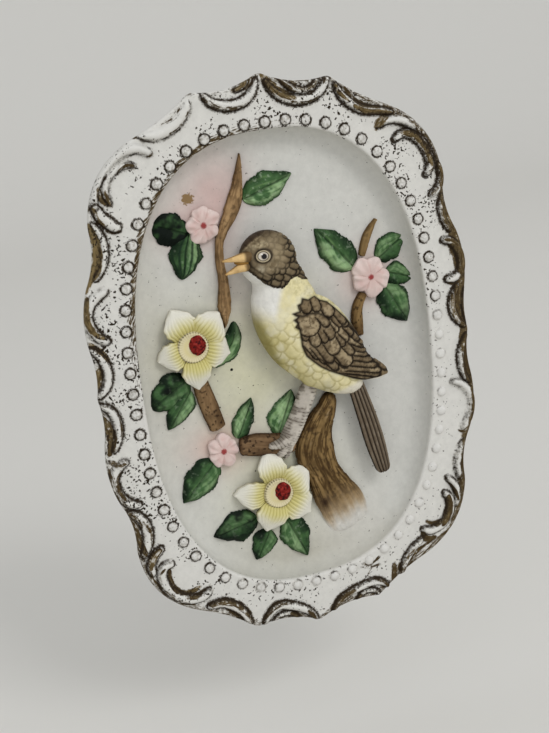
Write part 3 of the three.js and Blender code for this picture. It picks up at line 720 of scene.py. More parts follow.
BRUSHWORK = tuple(BrushMark(*mark) for mark in (
    (((-9.4, 89.6), (-6, 91), (-4.4, 94)), 1.8, 0.75, 0.45),
    (((-5.6, 89.4), (-3.4, 91.4), (-2.2, 94)), 1.2, 0.7, 0.6),
    (((-19.4, 88.6), (-16.4, 86), (-12, 84.4), (-7, 84.6)), 1.8, 0.55, 0.7),
    (((-33, 82.4), (-29, 84), (-26.4, 86.8)), 1.0, 0.5, 0.8),
    (((-31, 79.4), (-27, 81.6), (-24.4, 85.2)), 0.9, 0.5, 0.9),
    (((0.8, 93.2), (3, 90), (6.4, 87.2), (10, 85.4)), 3.2, 0.75, 0.45),
    (((4.6, 93.6), (7.4, 89.8), (11, 87)), 1.4, 0.8, 0.8),
    (((8.2, 92), (11.4, 88.8), (15, 87.6), (18.6, 89.4)), 1.8, 0.55, 0.5),
    (((9, 84.2), (14, 83.3), (18.6, 84.6)), 1.6, 0.5, 0.8),
    (((24.3, 88), (25.4, 85), (28.2, 82)), 1.6, 0.7, 0.35),
    (((27.8, 86.4), (30.4, 82.4), (34, 80), (39, 78.8)), 1.6, 0.9, 0.9),
    (((30, 80.4), (34, 78), (38.4, 77.2), (44, 76.2)), 1.9, 0.8, 0.4),
    (((37.4, 71.8), (38.6, 74), (41.8, 76.2)), 2.4, 0.7, 0.35),
    (((46, 69.8), (50.6, 68), (54, 63.4), (55.6, 58)), 2.4, 0.8, 0.45),
    (((52.6, 69.6), (56.2, 64.4), (57.8, 60)), 0.9, 0.6, 0.9),
    (((53.8, 55.2), (56, 56.6), (57.4, 58.4)), 1.4, 0.6, 0.6),
    (((58, 58.6), (59.2, 54), (58.8, 50.6)), 1.6, 0.85, 0.6),
    (((54.6, 48), (57, 50)), 1.2, 0.45, 0.5),
    (((60, 50.2), (60.5, 45.6), (60.3, 41), (62, 36), (64, 30.6)), 2.4, 0.85, 0.55),
    (((57.9, 46), (58, 42), (59.2, 38)), 1.2, 0.5, 0.4),
    (((58.4, 32.4), (61.2, 31.6), (63.4, 29.8)), 1.5, 0.8, 0.5),
    (((63.4, 32), (64.6, 28), (64.8, 24), (64.6, 20.6)), 2.6, 0.9, 0.55),
    (((58, 17.6), (61, 16.7), (64.2, 17.6)), 1.2, 0.8, 0.9),
    (((61.4, 16), (61.2, 11.6), (61.6, 7), (63, 3)), 3.0, 1.0, 0.7),
    (((59.4, 13.4), (59.1, 8.6), (60.6, 3.6)), 1.8, 0.55, 0.35),
    (((64.3, 15.6), (64.4, 8), (64.9, 2)), 1.0, 0.9, 0.95),
    (((63.6, -1), (62.4, -4), (61.6, -6.6)), 1.8, 0.5, 0.35),
    (((64.4, -4), (63.4, -9), (63.2, -14), (64.2, -19)), 3.6, 1.0, 0.95),
    (((61.4, -8), (61.4, -13)), 1.2, 0.6, 0.7),
    (((64, -19.6), (65, -24), (64.6, -29), (62.6, -34)), 2.4, 0.95, 0.65),
    (((58.4, -35.8), (60, -36.6), (61.8, -36)), 0.9, 0.8, 1.0),
    (((61.4, -38), (60.2, -43), (59, -48), (59.4, -52.4)), 1.6, 1.0, 0.9),
    (((58.8, -51), (58, -54), (57.6, -56)), 2.6, 0.75, 0.85),
    (((53.2, -54.6), (54.8, -57.4), (55.6, -61)), 1.0, 0.9, 0.9),
    (((57, -56.6), (56.6, -60.4)), 1.4, 0.6, 0.6),
    (((51.9, -58.8), (52.2, -62.6), (51, -66.6), (49, -69)), 2.4, 0.95, 0.7),
    (((43.4, -67), (46, -68.4), (48.8, -67.8)), 1.8, 0.85, 0.75),
    (((53.8, -66), (50, -70.6), (45, -71.6)), 0.8, 0.8, 0.9),
    (((41.4, -70.8), (42.6, -73.4), (46, -73.8)), 2.4, 1.0, 0.8),
    (((45, -74.6), (39, -77.2), (35, -80.6), (33.2, -84)), 1.3, 0.95, 0.9),
    (((39, -74.6), (35, -77.4), (32.4, -80.6)), 1.0, 0.6, 0.6),
    (((36.4, -81.2), (34, -84)), 2.2, 0.95, 0.95),
    (((29.6, -80), (29.2, -84), (28.6, -88)), 2.2, 0.9, 0.85),
    (((31.8, -79.8), (30.8, -83.6), (30, -87)), 1.6, 0.5, 0.4),
    (((17.6, -77), (21, -77.8), (24.6, -75.6)), 1.2, 0.62, 0.85),
    (((17, -78.2), (21.4, -79), (26.6, -78.4)), 0.9, 0.62, 0.9),
    (((20.8, -79.6), (19.4, -81.4)), 0.9, 0.6, 0.9),
    (((26.8, -88.6), (24.4, -84.8), (21, -83.2)), 1.2, 0.8, 0.95),
    (((4.4, -92), (6.4, -89), (9.4, -86.8), (13, -85.4)), 2.4, 0.7, 0.6),
    (((8.2, -91.8), (9.6, -89), (12.4, -87)), 1.1, 0.85, 0.9),
    (((12.4, -92.4), (14, -90), (15.8, -88.4)), 1.9, 0.9, 0.85),
    (((3.6, -93.4), (8, -93), (13, -92.2)), 1.6, 0.8, 0.8),
    (((14, -86.6), (18, -85.8), (22, -86.6)), 1.2, 0.5, 0.8),
    (((-2, -94), (-3, -91), (-4.6, -88.6)), 1.4, 0.9, 0.9),
    (((-7, -93), (-8.4, -90.2), (-10.6, -88.4)), 2.3, 0.95, 0.9),
    (((-20.6, -88), (-17.6, -85), (-13.6, -83.4), (-10.6, -84.4)), 1.6, 0.65, 0.9),
    (((-19.4, -89.4), (-16.8, -86.6), (-13.4, -85.8)), 1.6, 0.4, 0.6),
    (((-24.4, -89), (-25.6, -84.6), (-28.8, -80.4), (-33, -77.8), (-38.6, -77.6)), 2.4, 0.62, 0.6),
    (((-27.6, -88), (-29.4, -84.4), (-32.6, -81.2)), 1.9, 0.95, 0.95),
    (((-46.4, -72.8), (-43, -73.3), (-40, -72)), 1.1, 0.85, 0.7),
    (((-48, -70.8), (-44.4, -71.6), (-41.2, -70.6)), 1.9, 0.7, 0.45),
    (((-46.6, -71.2), (-49.6, -69), (-50.8, -65.4), (-50.6, -61.6)), 1.8, 0.9, 0.8),
    (((-52.4, -60.6), (-54.2, -62.6), (-54.4, -66)), 1.0, 0.5, 0.6),
    (((-57.2, -60.4), (-55.8, -65), (-51.6, -70.4)), 0.9, 0.7, 0.9),
    (((-53, -53.8), (-55.4, -56), (-57, -59.4)), 2.4, 0.7, 0.5),
    (((-58.6, -55.8), (-60.2, -53), (-60.4, -47)), 1.6, 0.7, 0.85),
    (((-57.6, -54.4), (-58.6, -51), (-59.6, -46.6), (-61, -42)), 2.2, 0.8, 0.75),
    (((-55, -52), (-55, -47), (-57, -42.6)), 1.6, 0.55, 0.6),
    (((-62, -38.4), (-59.6, -41), (-58, -44.6)), 2.4, 0.6, 0.6),
    (((-62.6, -36.4), (-64.4, -32), (-65.2, -27), (-65, -22)), 0.9, 0.7, 0.8),
    (((-61.6, -34), (-63, -30.6), (-63.2, -27), (-61.8, -24.4)), 1.3, 0.85, 0.85),
    (((-64.4, -20.6), (-62.4, -22), (-60, -21.8)), 2.0, 0.55, 0.6),
    (((-64.2, -18), (-62.8, -13), (-63.4, -9), (-65.6, -5)), 3.0, 0.8, 0.65),
    (((-59.9, -5), (-59.3, -9), (-59.7, -13)), 1.0, 0.5, 0.8),
    (((-66, 3.8), (-64.6, 6.4), (-63.4, 9.8)), 3.2, 0.8, 0.35),
    (((-60, 12.6), (-62, 15.8), (-65, 18.6)), 1.7, 0.8, 0.3),
    (((-60.6, 20.2), (-63, 21.8), (-64.6, 25), (-64.8, 29), (-63.6, 33)), 2.0, 0.85, 0.4),
    (((-64, 35), (-62.4, 38), (-59.6, 41.6), (-58.4, 46.4), (-58.6, 51), (-59.8, 55.2)),
     2.7, 0.95, 0.15),
    (((-60, 59.6), (-57.8, 60.2), (-57, 56.8), (-55, 54.6)), 1.4, 0.6, 0.3),
    (((-55.2, 66), (-54.8, 62.8), (-52.4, 60.2)), 2.2, 0.65, 0.4),
    (((-53.4, 65), (-52.8, 62), (-51.9, 60)), 1.0, 0.9, 0.6),
    (((-48.6, 70.4), (-45.4, 71.8), (-42.8, 71)), 1.6, 0.6, 0.85),
    (((-38.8, 73.4), (-37.2, 74), (-37.2, 75.6)), 0.9, 0.7, 0.9),
    (((-42, 79.4), (-41, 80)), 1.2, 0.6, 0.9),
    (((-54.6, 53), (-52.6, 51.9), (-50.4, 52.6)), 0.9, 0.7, 0.6),
))


@dataclass(frozen=True)
class Bay:
    """One bay of the outline: where it ends and how far it bows out."""

    end: Place
    bow: float


OUTLINE_START = (0.0, 94.3)
OUTLINE_BAYS = (
    Bay((23.0, 90.8), -2.1), Bay((42.0, 79.5), -0.9), Bay((60.0, 54.0), 4.6),
    Bay((63.4, 35.5), -1.5), Bay((65.1, 15.0), 1.4), Bay((65.3, 0.0), -0.9),
)


def outline(count: int) -> Array:
    """The plate's outline, clockwise from the top.

    Args:
        count: How many places, at equal steps.

    Returns:
        Rows of x and z.
    """
    quarter = []
    start = np.array(OUTLINE_START)
    t = np.linspace(0, 1, 60, endpoint=False)[:, None]
    for bay in OUTLINE_BAYS:
        end = np.array(bay.end)
        out = np.array([start[1] - end[1], end[0] - start[0]]) / np.linalg.norm(end - start)
        pull = (start + end) / 2 + 2 * bay.bow * out
        quarter.append(start * (1 - t) ** 2 + 2 * pull * t * (1 - t) + end * t**2)
        start = end
    quarter = np.concatenate(quarter)
    side = np.array([OUTLINE_BAYS[-1].end])
    half = np.concatenate([quarter, side, quarter[:0:-1] * (1, -1)])
    whole = np.concatenate([half, [[0, -OUTLINE_START[1]]], half[:0:-1] * (-1, 1)])
    run = np.concatenate([[0], np.cumsum(np.linalg.norm(np.diff(np.vstack([whole, whole[:1]]), axis=0),
                                                        axis=1))])
    goal = np.linspace(0, run[-1], count, endpoint=False)
    ring = np.vstack([whole, whole[:1]])
    places = np.stack([np.interp(goal, run, ring[:, i]) for i in (0, 1)], axis=1)
    for _ in range(int(count / 160)):
        places = 0.5 * places + 0.25 * (np.roll(places, 1, axis=0) + np.roll(places, -1, axis=0))
    return places


def bead_places(count: int) -> Array:
    """Places at equal steps along the bead oval, clockwise from the top."""
    angle = math.pi / 2 - np.linspace(0, 2 * math.pi, 4001)
    radius = PLATE.oval(PLATE.bead_oval, angle)
    track = np.stack([radius * np.cos(angle), radius * np.sin(angle)], axis=1)
    run = np.concatenate([[0], np.cumsum(np.linalg.norm(np.diff(track, axis=0), axis=1))])
    goal = np.linspace(0, run[-1], count, endpoint=False)
    return np.stack([np.interp(goal, run, track[:, i]) for i in (0, 1)], axis=1)


FAR = 9.0


class BorderWork:
    """The scrollwork and the brushwork as fields over places on the border.

    Attributes:
        rise: How high the carving stands.
        edge: How far the nearest dark line is.
        worn: How strong that line is.
        gild: How well the brushed gold or brown covers.
        deep: How brown it is.
        run: How far along its brush mark a place lies.
        lane: How far beside the middle of its brush mark it lies.
    """

    def __init__(self, places: Array) -> None:
        """Work out the fields.

        Args:
            places: Rows of x and z.
        """
        self.places = places
        around = np.arctan2(places[:, 1], places[:, 0])
        self.rise, self.worn, self.gild, self.deep = (np.zeros(len(places)) for _ in range(4))
        self.edge = np.full(len(places), FAR)
        self.strongest = np.zeros(len(places))
        self.run = around * 60
        self.lane = np.linalg.norm(places, axis=1)
        for stroke in SCROLLWORK:
            self.raise_stroke(stroke)
        for x, z in bead_places(BEAD_COUNT):
            gap = np.hypot(places[:, 0] - x, places[:, 1] - z) - BEAD_RADIUS
            near = np.flatnonzero((gap > -0.3) & (gap < 1))
            self.line(near, 1.35 * np.abs(gap[near]), np.full(len(near), bead_line(x, z)))
        for number, mark in enumerate(BRUSHWORK):
            self.brush(mark, number)

    def nearby(self, way: Array, margin: float) -> Array:
        """The numbers of the places in the box about a way."""
        low, high = way.min(axis=0) - margin, way.max(axis=0) + margin
        return np.flatnonzero(np.all((self.places > low) & (self.places < high), axis=1))

    def line(self, near: Array, distance: Array, strength: Array) -> None:
        """Draw a dark line where it is stronger than those already there."""
        shown = strength * np.clip(1 - distance, 0, 1)
        better = shown > self.strongest[near]
        chosen = near[better]
        self.strongest[chosen] = shown[better]
        self.edge[chosen] = distance[better]
        self.worn[chosen] = strength[better]

    def raise_stroke(self, stroke: Stroke) -> None:
        """Raise one stroke and line its edges."""
        way, half = stroke.sampled()
        near = self.nearby(way, 4)
        offset = self.places[near, None, :] - way[None]
        gap = np.linalg.norm(offset, axis=2)
        k = np.argmin(gap / np.maximum(half, 0.35), axis=1)
        rows = np.arange(len(near))
        nearest, reach, offset = gap[rows, k], half[k], offset[rows, k]
        dome = np.sqrt(np.clip(1 - (nearest / np.maximum(reach, 0.35)) ** 2, 0, 1))
        height = stroke.height * dome * np.clip(reach / 1.1, 0, 1)
        self.rise[near] = np.maximum(self.rise[near], height)
        aim = np.gradient(way, axis=0)[k]
        to_rim = aim[:, 0] * offset[:, 1] - aim[:, 1] * offset[:, 0] > 0
        self.line(near, np.abs(nearest - reach - 0.1), np.where(to_rim, stroke.lined[0], stroke.lined[1]))
        close = nearest < reach + 1.2
        length = np.linalg.norm(np.diff(way, axis=0), axis=1).sum()
        self.run[near[close]] = (k / len(way) * length)[close]
        self.lane[near[close]] = nearest[close]

    def brush(self, mark: BrushMark, number: int) -> None:
        """Brush one mark on."""
        t = np.linspace(0, 1, 40)
        way = through(np.array(mark.way), t)
        near = self.nearby(way, 4)
        gap = np.linalg.norm(self.places[near, None, :] - way[None], axis=2)
        k = np.argmin(gap, axis=1)
        nearest = gap[np.arange(len(near)), k]
        reach = 0.5 * mark.width * np.sin(np.pi * np.clip(t[k], 0.04, 0.96)) ** 0.3
        cover = mark.cover * np.clip((reach + 0.35 - nearest) / 0.6, 0, 1)
        better = cover > self.gild[near]
        chosen = near[better]
        length = np.linalg.norm(np.diff(way, axis=0), axis=1).sum()
        self.gild[chosen] = cover[better]
        self.deep[chosen] = mark.deep
        self.run[chosen] = (t[k] * length + 23.0 * number)[better]
        self.lane[chosen] = nearest[better]


BEAD_COUNT = 64
BEAD_RADIUS = 1.75
BEAD_HEIGHT = 1.15


@dataclass
class PlateShell:
    """The dished plate: well, beaded border and scrolls in front, foot ring behind."""

    spokes: int = 1120
    border_rings: int = 44
    wall_rings: int = 12
    floor_rings: int = 12
    lip_round: float = 0.9
    wall_thickness: float = 4.0
    hole_x: float = 15.0
    hole_radius: float = 1.4
    hole_rise: float = 2.3
    hole_length: float = 16.0

    def profile(self) -> list[tuple[Array, Array, Array]]:
        """The rings of the plate from the middle of the well round to the middle of the back.

        Returns:
            For each ring the places across and up the plate and their rise.
        """
        edge = outline(self.spokes)
        angle = np.arctan2(edge[:, 1], edge[:, 0])
        aim = np.stack([np.cos(angle), np.sin(angle)], axis=1)
        size = np.linalg.norm(edge, axis=1)
        floor = PLATE.oval(PLATE.floor_oval, angle)
        lip = PLATE.oval(PLATE.well_oval, angle)
        foot = PLATE.oval(PLATE.foot_oval, angle)
        depth = PLATE.border_rise - PLATE.floor_rise
        rings = [(0.0 * floor, PLATE.floor_rise)]
        for s in np.linspace(0, 1, self.floor_rings + 1)[1:]:
            rings.append((floor * s, PLATE.floor_rise))
        for s in np.linspace(0, 1, self.wall_rings + 1)[1:]:
            turn = s * math.pi / 2
            rings.append((floor + (lip - floor) * math.sin(turn) ** 0.9,
                          PLATE.floor_rise + (depth - self.lip_round) * (1 - math.cos(turn)) ** 0.9))
        for turn in np.linspace(0, math.pi / 2, 4)[1:]:
            rings.append((lip + self.lip_round * (1 - math.cos(turn)),
                          PLATE.border_rise - self.lip_round * (1 - math.sin(turn))))
        start = lip + self.lip_round
        for s in np.linspace(0, 1, self.border_rings + 1)[1:]:
            rings.append((start + (size - 0.6 - start) * s, PLATE.border_rise))
        rings += [(size - 0.2, PLATE.border_rise - 0.35), (size, PLATE.border_rise - 1.1)]
        back = PLATE.border_rise - self.wall_thickness
        rings += [(size - 0.1, PLATE.border_rise - 2.4), (size - 0.7, back - 0.3),
                  (size - 2.2, back - 0.5), (lip + 5.0, back), (lip + 3.2, back - 0.8),
                  (foot + 2.6, 1.0), (foot + 1.9, 0.0), (foot - 1.7, 0.0), (foot - 2.4, 0.9),
                  (foot - 2.9, PLATE.foot_rise - 0.4), (foot - 4.0, PLATE.foot_rise),
                  (foot * 0.5, PLATE.foot_rise), (0.0 * foot, PLATE.foot_rise)]
        return [(aim[:, 0] * r, aim[:, 1] * r, np.full(self.spokes, rise)) for r, rise in rings]

    def build(self, material: Material) -> Mesh:
        """Model the plate.

        Args:
            material: The bisque.

        Returns:
            The finished piece.
        """
        rings = self.profile()
        piece, spoke, ring = new_skin("plate_shell", self.spokes, len(rings) - 2)
        x, z, rise = (np.array([r[i] for r in rings])[ring, spoke] for i in range(3))
        places = np.stack([x, z], axis=1)
        first = self.floor_rings + self.wall_rings + 3
        last = first + self.border_rings
        on_border = (ring >= first - 3) & (ring <= last + 2)
        carving = BorderWork(places[on_border])
        lift = np.zeros(len(rise))
        lift[on_border] = carving.rise
        fade = np.interp(ring, [last - 1, last, last + 1, last + 2], [1.0, 0.85, 0.5, 0.1])
        in_front = (ring > 0) & (ring <= last)
        rise = rise + lift * fade + np.where(in_front, self.unevenness(places), 0)
        move_corners(piece, PLATE.points(x, z, rise))
        self.paint(piece, places, ring < first - 3, on_border, carving)
        face_outwards(piece)
        self.drill(piece)
        finish_piece(piece, Slot.BISQUE, material, ["plate"])
        return piece

    def unevenness(self, places: Array) -> Array:
        """The slight waviness of hand-finished bisque."""
        return 0.18 * (fractal(places, 9.0, 3) - 0.5) + 0.07 * (fractal(places, 2.2, 5) - 0.5)

    def paint(self, piece: Mesh, places: Array, in_well: Array, on_border: Array,
              work: BorderWork) -> None:
        """Tint the well, and note where the border is lined, brushed and specked."""
        coats = Paint(len(places), "cecdc7")
        for tint in WELL_TINTS:
            reach = np.hypot((places[:, 0] - tint.middle[0]) / tint.size[0],
                             (places[:, 1] - tint.middle[1]) / tint.size[1])
            cloud = 0.7 + 0.6 * fractal(places, 8.0, 21)
            coats.coat(tint.colour, tint.strength * np.exp(-reach**2) * cloud * in_well)
        coats.coat("d6d4ce", 1.0 * on_border)
        coats.store(piece)
        border = places[on_border]
        around = np.degrees(np.arctan2(border[:, 1], border[:, 0]))
        reach = np.linalg.norm(border, axis=1)
        from_lip = reach - PLATE.oval(PLATE.well_oval, np.radians(around))
        edge = outline(720)
        rim_angle = np.degrees(np.arctan2(edge[:, 1], edge[:, 0]))
        order = np.argsort(rim_angle)
        rim = np.interp(around, rim_angle[order], np.linalg.norm(edge, axis=1)[order], period=360)
        uneven = fractal(border, 4.0, 29) - 0.5
        lip_rub = ramp(3.0 + 3 * uneven - from_lip, 0.0, 1.6) * around_border(LIP_GILDING, around)
        wide = around_border(RIM_WIDTH, around) * (1 + 0.9 * uneven)
        rim_rub = ramp(wide - rim + reach, 0.0, 1.4) * around_border(RIM_GILDING, around)
        clusters = ramp(fractal(border, 6.5, 27), 0.32, 0.62)
        fields = {"edge": work.edge, "worn": work.worn, "run": work.run, "lane": work.lane,
                  "gild": np.maximum.reduce([work.gild, lip_rub, rim_rub]),
                  "deep": np.where(np.maximum(lip_rub, rim_rub) > work.gild, 0.6, work.deep),
                  "specks": around_border(SPECKS, around) * clusters}
        for name, values in fields.items():
            whole = np.full(len(places), FAR if name == "edge" else 0.0)
            whole[on_border] = values
            give(piece, name, whole)

    def drill(self, piece: Mesh) -> None:
        """Pierce the two hanging holes through the top of the foot ring."""
        for side in (-1, 1):
            deselect()
            centre = PLATE.points(side * self.hole_x, PLATE.foot_oval[1], self.hole_rise)
            bpy.ops.mesh.primitive_cylinder_add(vertices=24, radius=self.hole_radius * MM,
                                                depth=self.hole_length * MM, location=tuple(centre))
            cutter = bpy.context.active_object
            activate(piece)
            cut = piece.modifiers.new("hanging_hole", "BOOLEAN")
            cut.operation = "DIFFERENCE"
            cut.solver = "EXACT"
            cut.object = cutter
            bpy.ops.object.modifier_apply(modifier=cut.name)
            bpy.data.objects.remove(cutter)


@dataclass(frozen=True)
class Tint:
    """A soft cloud of colour in the well."""

    middle: Place
    size: Place
    colour: str
    strength: float


# Pink and yellow-green clouds are airbrushed tints; the grey clouds darken the floor along its bottom and
# left edges by the wall, and the pale cloud lightens it at the lower right.
WELL_TINTS = (
    Tint((-22.6, 49), (9, 8), "d3a9a2", 0.5), Tint((33.4, 22.6), (10, 9), "d3b0a9", 0.45),
    Tint((-25.4, -27), (10, 8), "d3aca5", 0.5),
    Tint((-17, 60), (11, 10), "c99a94", 0.55), Tint((-30, 50), (10, 8), "cfa7a0", 0.35),
    Tint((-26, -24), (12, 9), "cfaaa0", 0.40), Tint((-14, 30), (6, 16), "c9aaa2", 0.25),
    Tint((33, 22), (9, 9), "cba79f", 0.35), Tint((-28, 8), (16, 16), "cac7a0", 0.45),
    Tint((-10, -2), (16, 18), "ceca9f", 0.5), Tint((-6, -44), (20, 20), "cdc99f", 0.5),
    Tint((-18, -12), (14, 9), "c6c3a2", 0.40), Tint((5, -70), (40, 8), "a09a86", 0.40),
    Tint((-44, 6), (8, 40), "bab5a3", 0.35), Tint((18, -64), (12, 7), "d9d6d0", 0.40),
)
BEAD_LINES = ((-180, 0.9), (-150, 0.85), (-128, 0.75), (-110, 0.5), (-92, 0.25), (-70, 0.08), (-30, 0.0),
              (0, 0.05), (25, 0.75), (45, 0.75), (70, 0.85), (90, 1.0), (180, 0.9))
LIP_GILDING = ((-180, 0.15), (-165, 0.0), (75, 0.0), (92, 0.35), (105, 0.62), (150, 0.6), (165, 0.42),
               (180, 0.15))
RIM_GILDING = ((-180, 0.3), (-150, 0.45), (-125, 0.5), (-100, 0.45), (-75, 0.5), (-60, 0.6), (-45, 0.78),
               (-20, 0.72), (0, 0.82), (25, 0.86), (45, 0.66), (60, 0.5), (90, 0.4), (105, 0.2), (120, 0.0),
               (155, 0.0), (170, 0.25), (180, 0.3))
RIM_WIDTH = ((-180, 2.5), (-120, 3.0), (-90, 2.5), (-60, 3.0), (-40, 3.6), (-20, 3.4), (0, 4.6), (25, 5.2),
             (45, 3.6), (70, 2.6), (110, 2.0), (180, 2.5))
SPECKS = ((-180, 1.0), (-130, 0.9), (-90, 0.6), (-60, 0.5), (-30, 0.5), (0, 0.5), (30, 0.8), (60, 0.9),
          (90, 0.8), (115, 0.7), (150, 1.0), (180, 1.0))


def around_border(marks: tuple[Place, ...], around: Array | float) -> Array | float:
    """A strength round the border, by direction in degrees from +X."""
    table = np.array(marks)
    return np.interp(around, table[:, 0], table[:, 1])


def bead_line(x: float, z: float) -> float:
    """How strong the dark line about the bead at this place is."""
    return float(around_border(BEAD_LINES, math.degrees(math.atan2(z, x))))


@dataclass
class BeadRing:
    """The ring of beads about the well."""

    def build(self, material: Material) -> Mesh:
        """Model one bead, copy it along the oval and join the copies.

        Args:
            material: The bisque.

        Returns:
            The joined beads.
        """
        deselect()
        bpy.ops.mesh.primitive_uv_sphere_add(segments=14, ring_count=7, radius=1)
        bead = bpy.context.active_object
        shape = corners(bead)
        shape = shape * (1 + 0.10 * np.abs(shape[:, 2:]) * (1, 1, -1))
        faces = [tuple(p.vertices) for p in bead.data.polygons]
        bpy.data.objects.remove(bead)
        points, polygons, worn = [], [], []
        for k, (x, z) in enumerate(bead_places(BEAD_COUNT)):
            dent = 1 + 0.06 * math.sin(k * 2.3)
            place = PLATE.points(x + shape[:, 0] * BEAD_RADIUS * dent, z + shape[:, 1] * BEAD_RADIUS,
                                 PLATE.border_rise - 0.1 + shape[:, 2] * BEAD_HEIGHT)
            polygons += [tuple(v + len(points) * len(shape) for v in face) for face in faces]
            points.append(place)
            worn.append(np.full(len(shape), bead_line(x, z)))
        mesh = bpy.data.meshes.new("beads")
        mesh.from_pydata(np.concatenate(points).tolist(), [], polygons)
        piece = bpy.data.objects.new("beads", mesh)
        bpy.context.collection.objects.link(piece)
        height = np.tile(shape[:, 2], BEAD_COUNT)
        strength = np.concatenate(worn)
        coats = Paint(len(mesh.vertices), "d9d7d2")
        coats.coat("8d8468", 0.5 * strength * ramp(0.75 - height, 0.0, 0.6))
        coats.store(piece)
        give(piece, "edge", np.clip(height * 1.3 - 0.25, 0, FAR))
        for name in ("gild", "deep", "run", "lane"):
            give(piece, name, np.zeros(len(height)))
        give(piece, "worn", strength)
        give(piece, "specks", 0.3 * strength)
        face_outwards(piece)
        finish_piece(piece, Slot.BISQUE, material)
        return piece


# --- Branches ---


@dataclass(frozen=True)
class Branch:
    """A branch moulded with the plate: its way as [x, z, width], its height and its paint."""

    name: str
    way: tuple[tuple[float, float, float], ...]
    height: float
    base: str
    dark: str
    flecks: float
    furrows: float
    sink: float = 1.4

    def build(self, material: Material) -> Mesh:
        """Model the branch with its bark.

        Args:
            material: The painted bark.

        Returns:
            The finished piece.
        """
        rise, half_depth = (self.height - self.sink) / 2, (self.height + self.sink) / 2
        stations = [[x, z, width / 2, rise, half_depth] for x, z, width in self.way]
        if self.name == TRUNK:
            stations[-2][3:] = [0.4, 1.7]
            stations[-1][3:] = [-0.5, 0.9]
        length = sum(math.dist(a[:2], b[:2]) for a, b in zip(self.way, self.way[1:]))
        widest = max(width for _, _, width in self.way)
        loft = Loft(self.name, stations, around=int(min(180, 60 + 9 * widest)), rows=int(length * 3.0))
        piece = loft.build()
        grain = np.stack([loft.turn * widest * 0.42, loft.t * length * 0.16], axis=1)
        furrow = np.abs(fractal(grain, 1.5, 31) - 0.5) * 2
        knots = fractal(on_plate(piece), 2.6, 37)
        depth = self.furrows * (np.interp(loft.t, [0, 0.4, 0.65, 0.9], [0.25, 0.45, 1.2, 0.3])
                                if self.name == TRUNK else 1.0)
        emboss(piece, depth * (furrow - 0.4) - 0.25 * self.furrows * (knots > 0.68))
        self.paint(piece, loft, furrow)
        finish_piece(piece, Slot.BISQUE, material)
        return piece

    def paint(self, piece: Mesh, loft: Loft, furrow: Array) -> None:
        """Brown the bark, darken its furrows, paint shade along its flanks and fleck it."""
        places = on_plate(piece)
        coats = Paint(len(places), self.base)
        coats.coat(self.dark, 0.6 * ramp(fractal(places, 5.0, 41), 0.45, 0.75))
        coats.coat(self.dark, 0.85 * ramp(0.32 - furrow, 0.0, 0.3) * min(1, 1.4 * self.furrows))
        # Painted shade along both flanks, where the branch turns down into the plate.
        coats.coat(self.dark, 0.75 * ramp(np.abs(loft.across), 0.72, 1.0))
        coats.coat("c8b394", 0.35 * ramp(furrow, 0.45, 0.9) * ramp(fractal(places, 3.0, 43), 0.4, 0.7))
        coats.coat("2a1c10", self.flecks * ramp(fractal(places, 0.9, 47, 2), 0.62, 0.72))
        if self.name == TRUNK:
            streak = fractal(np.stack([loft.across * 6, loft.t * 4], axis=1), 1.0, 55)
            down = 0.3 * (places[:, 0] - 12) - places[:, 1] + 6 * (streak - 0.5)
            coats.coat("98805f", 0.5 * ramp(down, 46, 56))
            coats.coat("b9a587", 0.75 * ramp(down, 52, 62))
            coats.coat("cfccc5", ramp(down, 57, 66))
            coats.coat("2a1810", 0.9 * bump(np.hypot(places[:, 0] - 8, (places[:, 1] + 53) / 1.6), 1.6))
        coats.store(piece)


TRUNK = "branch_trunk"
BRANCHES = (
    Branch("branch_upper", ((-7.4, 70, 0.8), (-9.4, 60, 3.8), (-11, 55, 5.2), (-13.6, 50, 4.6),
                            (-17, 44, 3.2), (-18.2, 37, 3), (-17.9, 29, 3.6), (-18.6, 21, 4.8),
                            (-19.6, 14, 1)),
           3.0, "a4855e", "5f472c", 0.4, 0.5),
    Branch("branch_left", ((-30.6, 0, 5.2), (-28.9, -8, 6.2), (-27.4, -14, 6.2), (-25.9, -19.6, 5.6)),
           2.6, "866b4b", "46321f", 0.8, 0.30),
    Branch("branch_stub", ((-19.6, -27.2, 6.0), (-14, -27.6, 8), (-8, -28.6, 7.6), (0, -29.6, 7)),
           4.0, "7c6246", "3a2718", 0.9, 0.30),
    Branch(TRUNK, ((14.8, -14.6, 4), (12.4, -20, 7.4), (8.4, -27, 11.4), (6.8, -34, 14.4),
                   (8.8, -42, 12.4), (12.0, -50, 14.8), (15.4, -57, 16.6), (18.6, -66, 15)),
           4.4, "876d45", "3a2710", 0.5, 0.75),
    Branch("twig_right_upper", ((37.4, 42, 0.9), (33.6, 36.6, 3.0), (31, 30, 2.4)),
           2.4, "8c724a", "5a4428", 0.3, 0.25),
    Branch("twig_right_lower", ((30.4, 17.6, 2.8), (27.8, 13, 3.8), (27.2, 7.4, 4.2), (27.4, 3, 3.4)),
           2.8, "8f7349", "46321d", 0.7, 0.30),
)


# --- Leaves and flowers ---


def top_and_under(place: Array, around: int, top_share: float = 0.78) -> tuple[Array, Array]:
    """Spread a ring over a thin piece's top and under side.

    Args:
        place: Each corner's place in its ring.
        around: Corners in a ring.
        top_share: How much of the ring goes over the top.

    Returns:
        The place across from -1 to 1, and whether the corner is on top.
    """
    s = place / around
    on_top = s <= top_share
    across = np.where(on_top, 1 - 2 * s / top_share, -1 + 2 * (s - top_share) / (1 - top_share))
    return np.clip(across, -1, 1), on_top


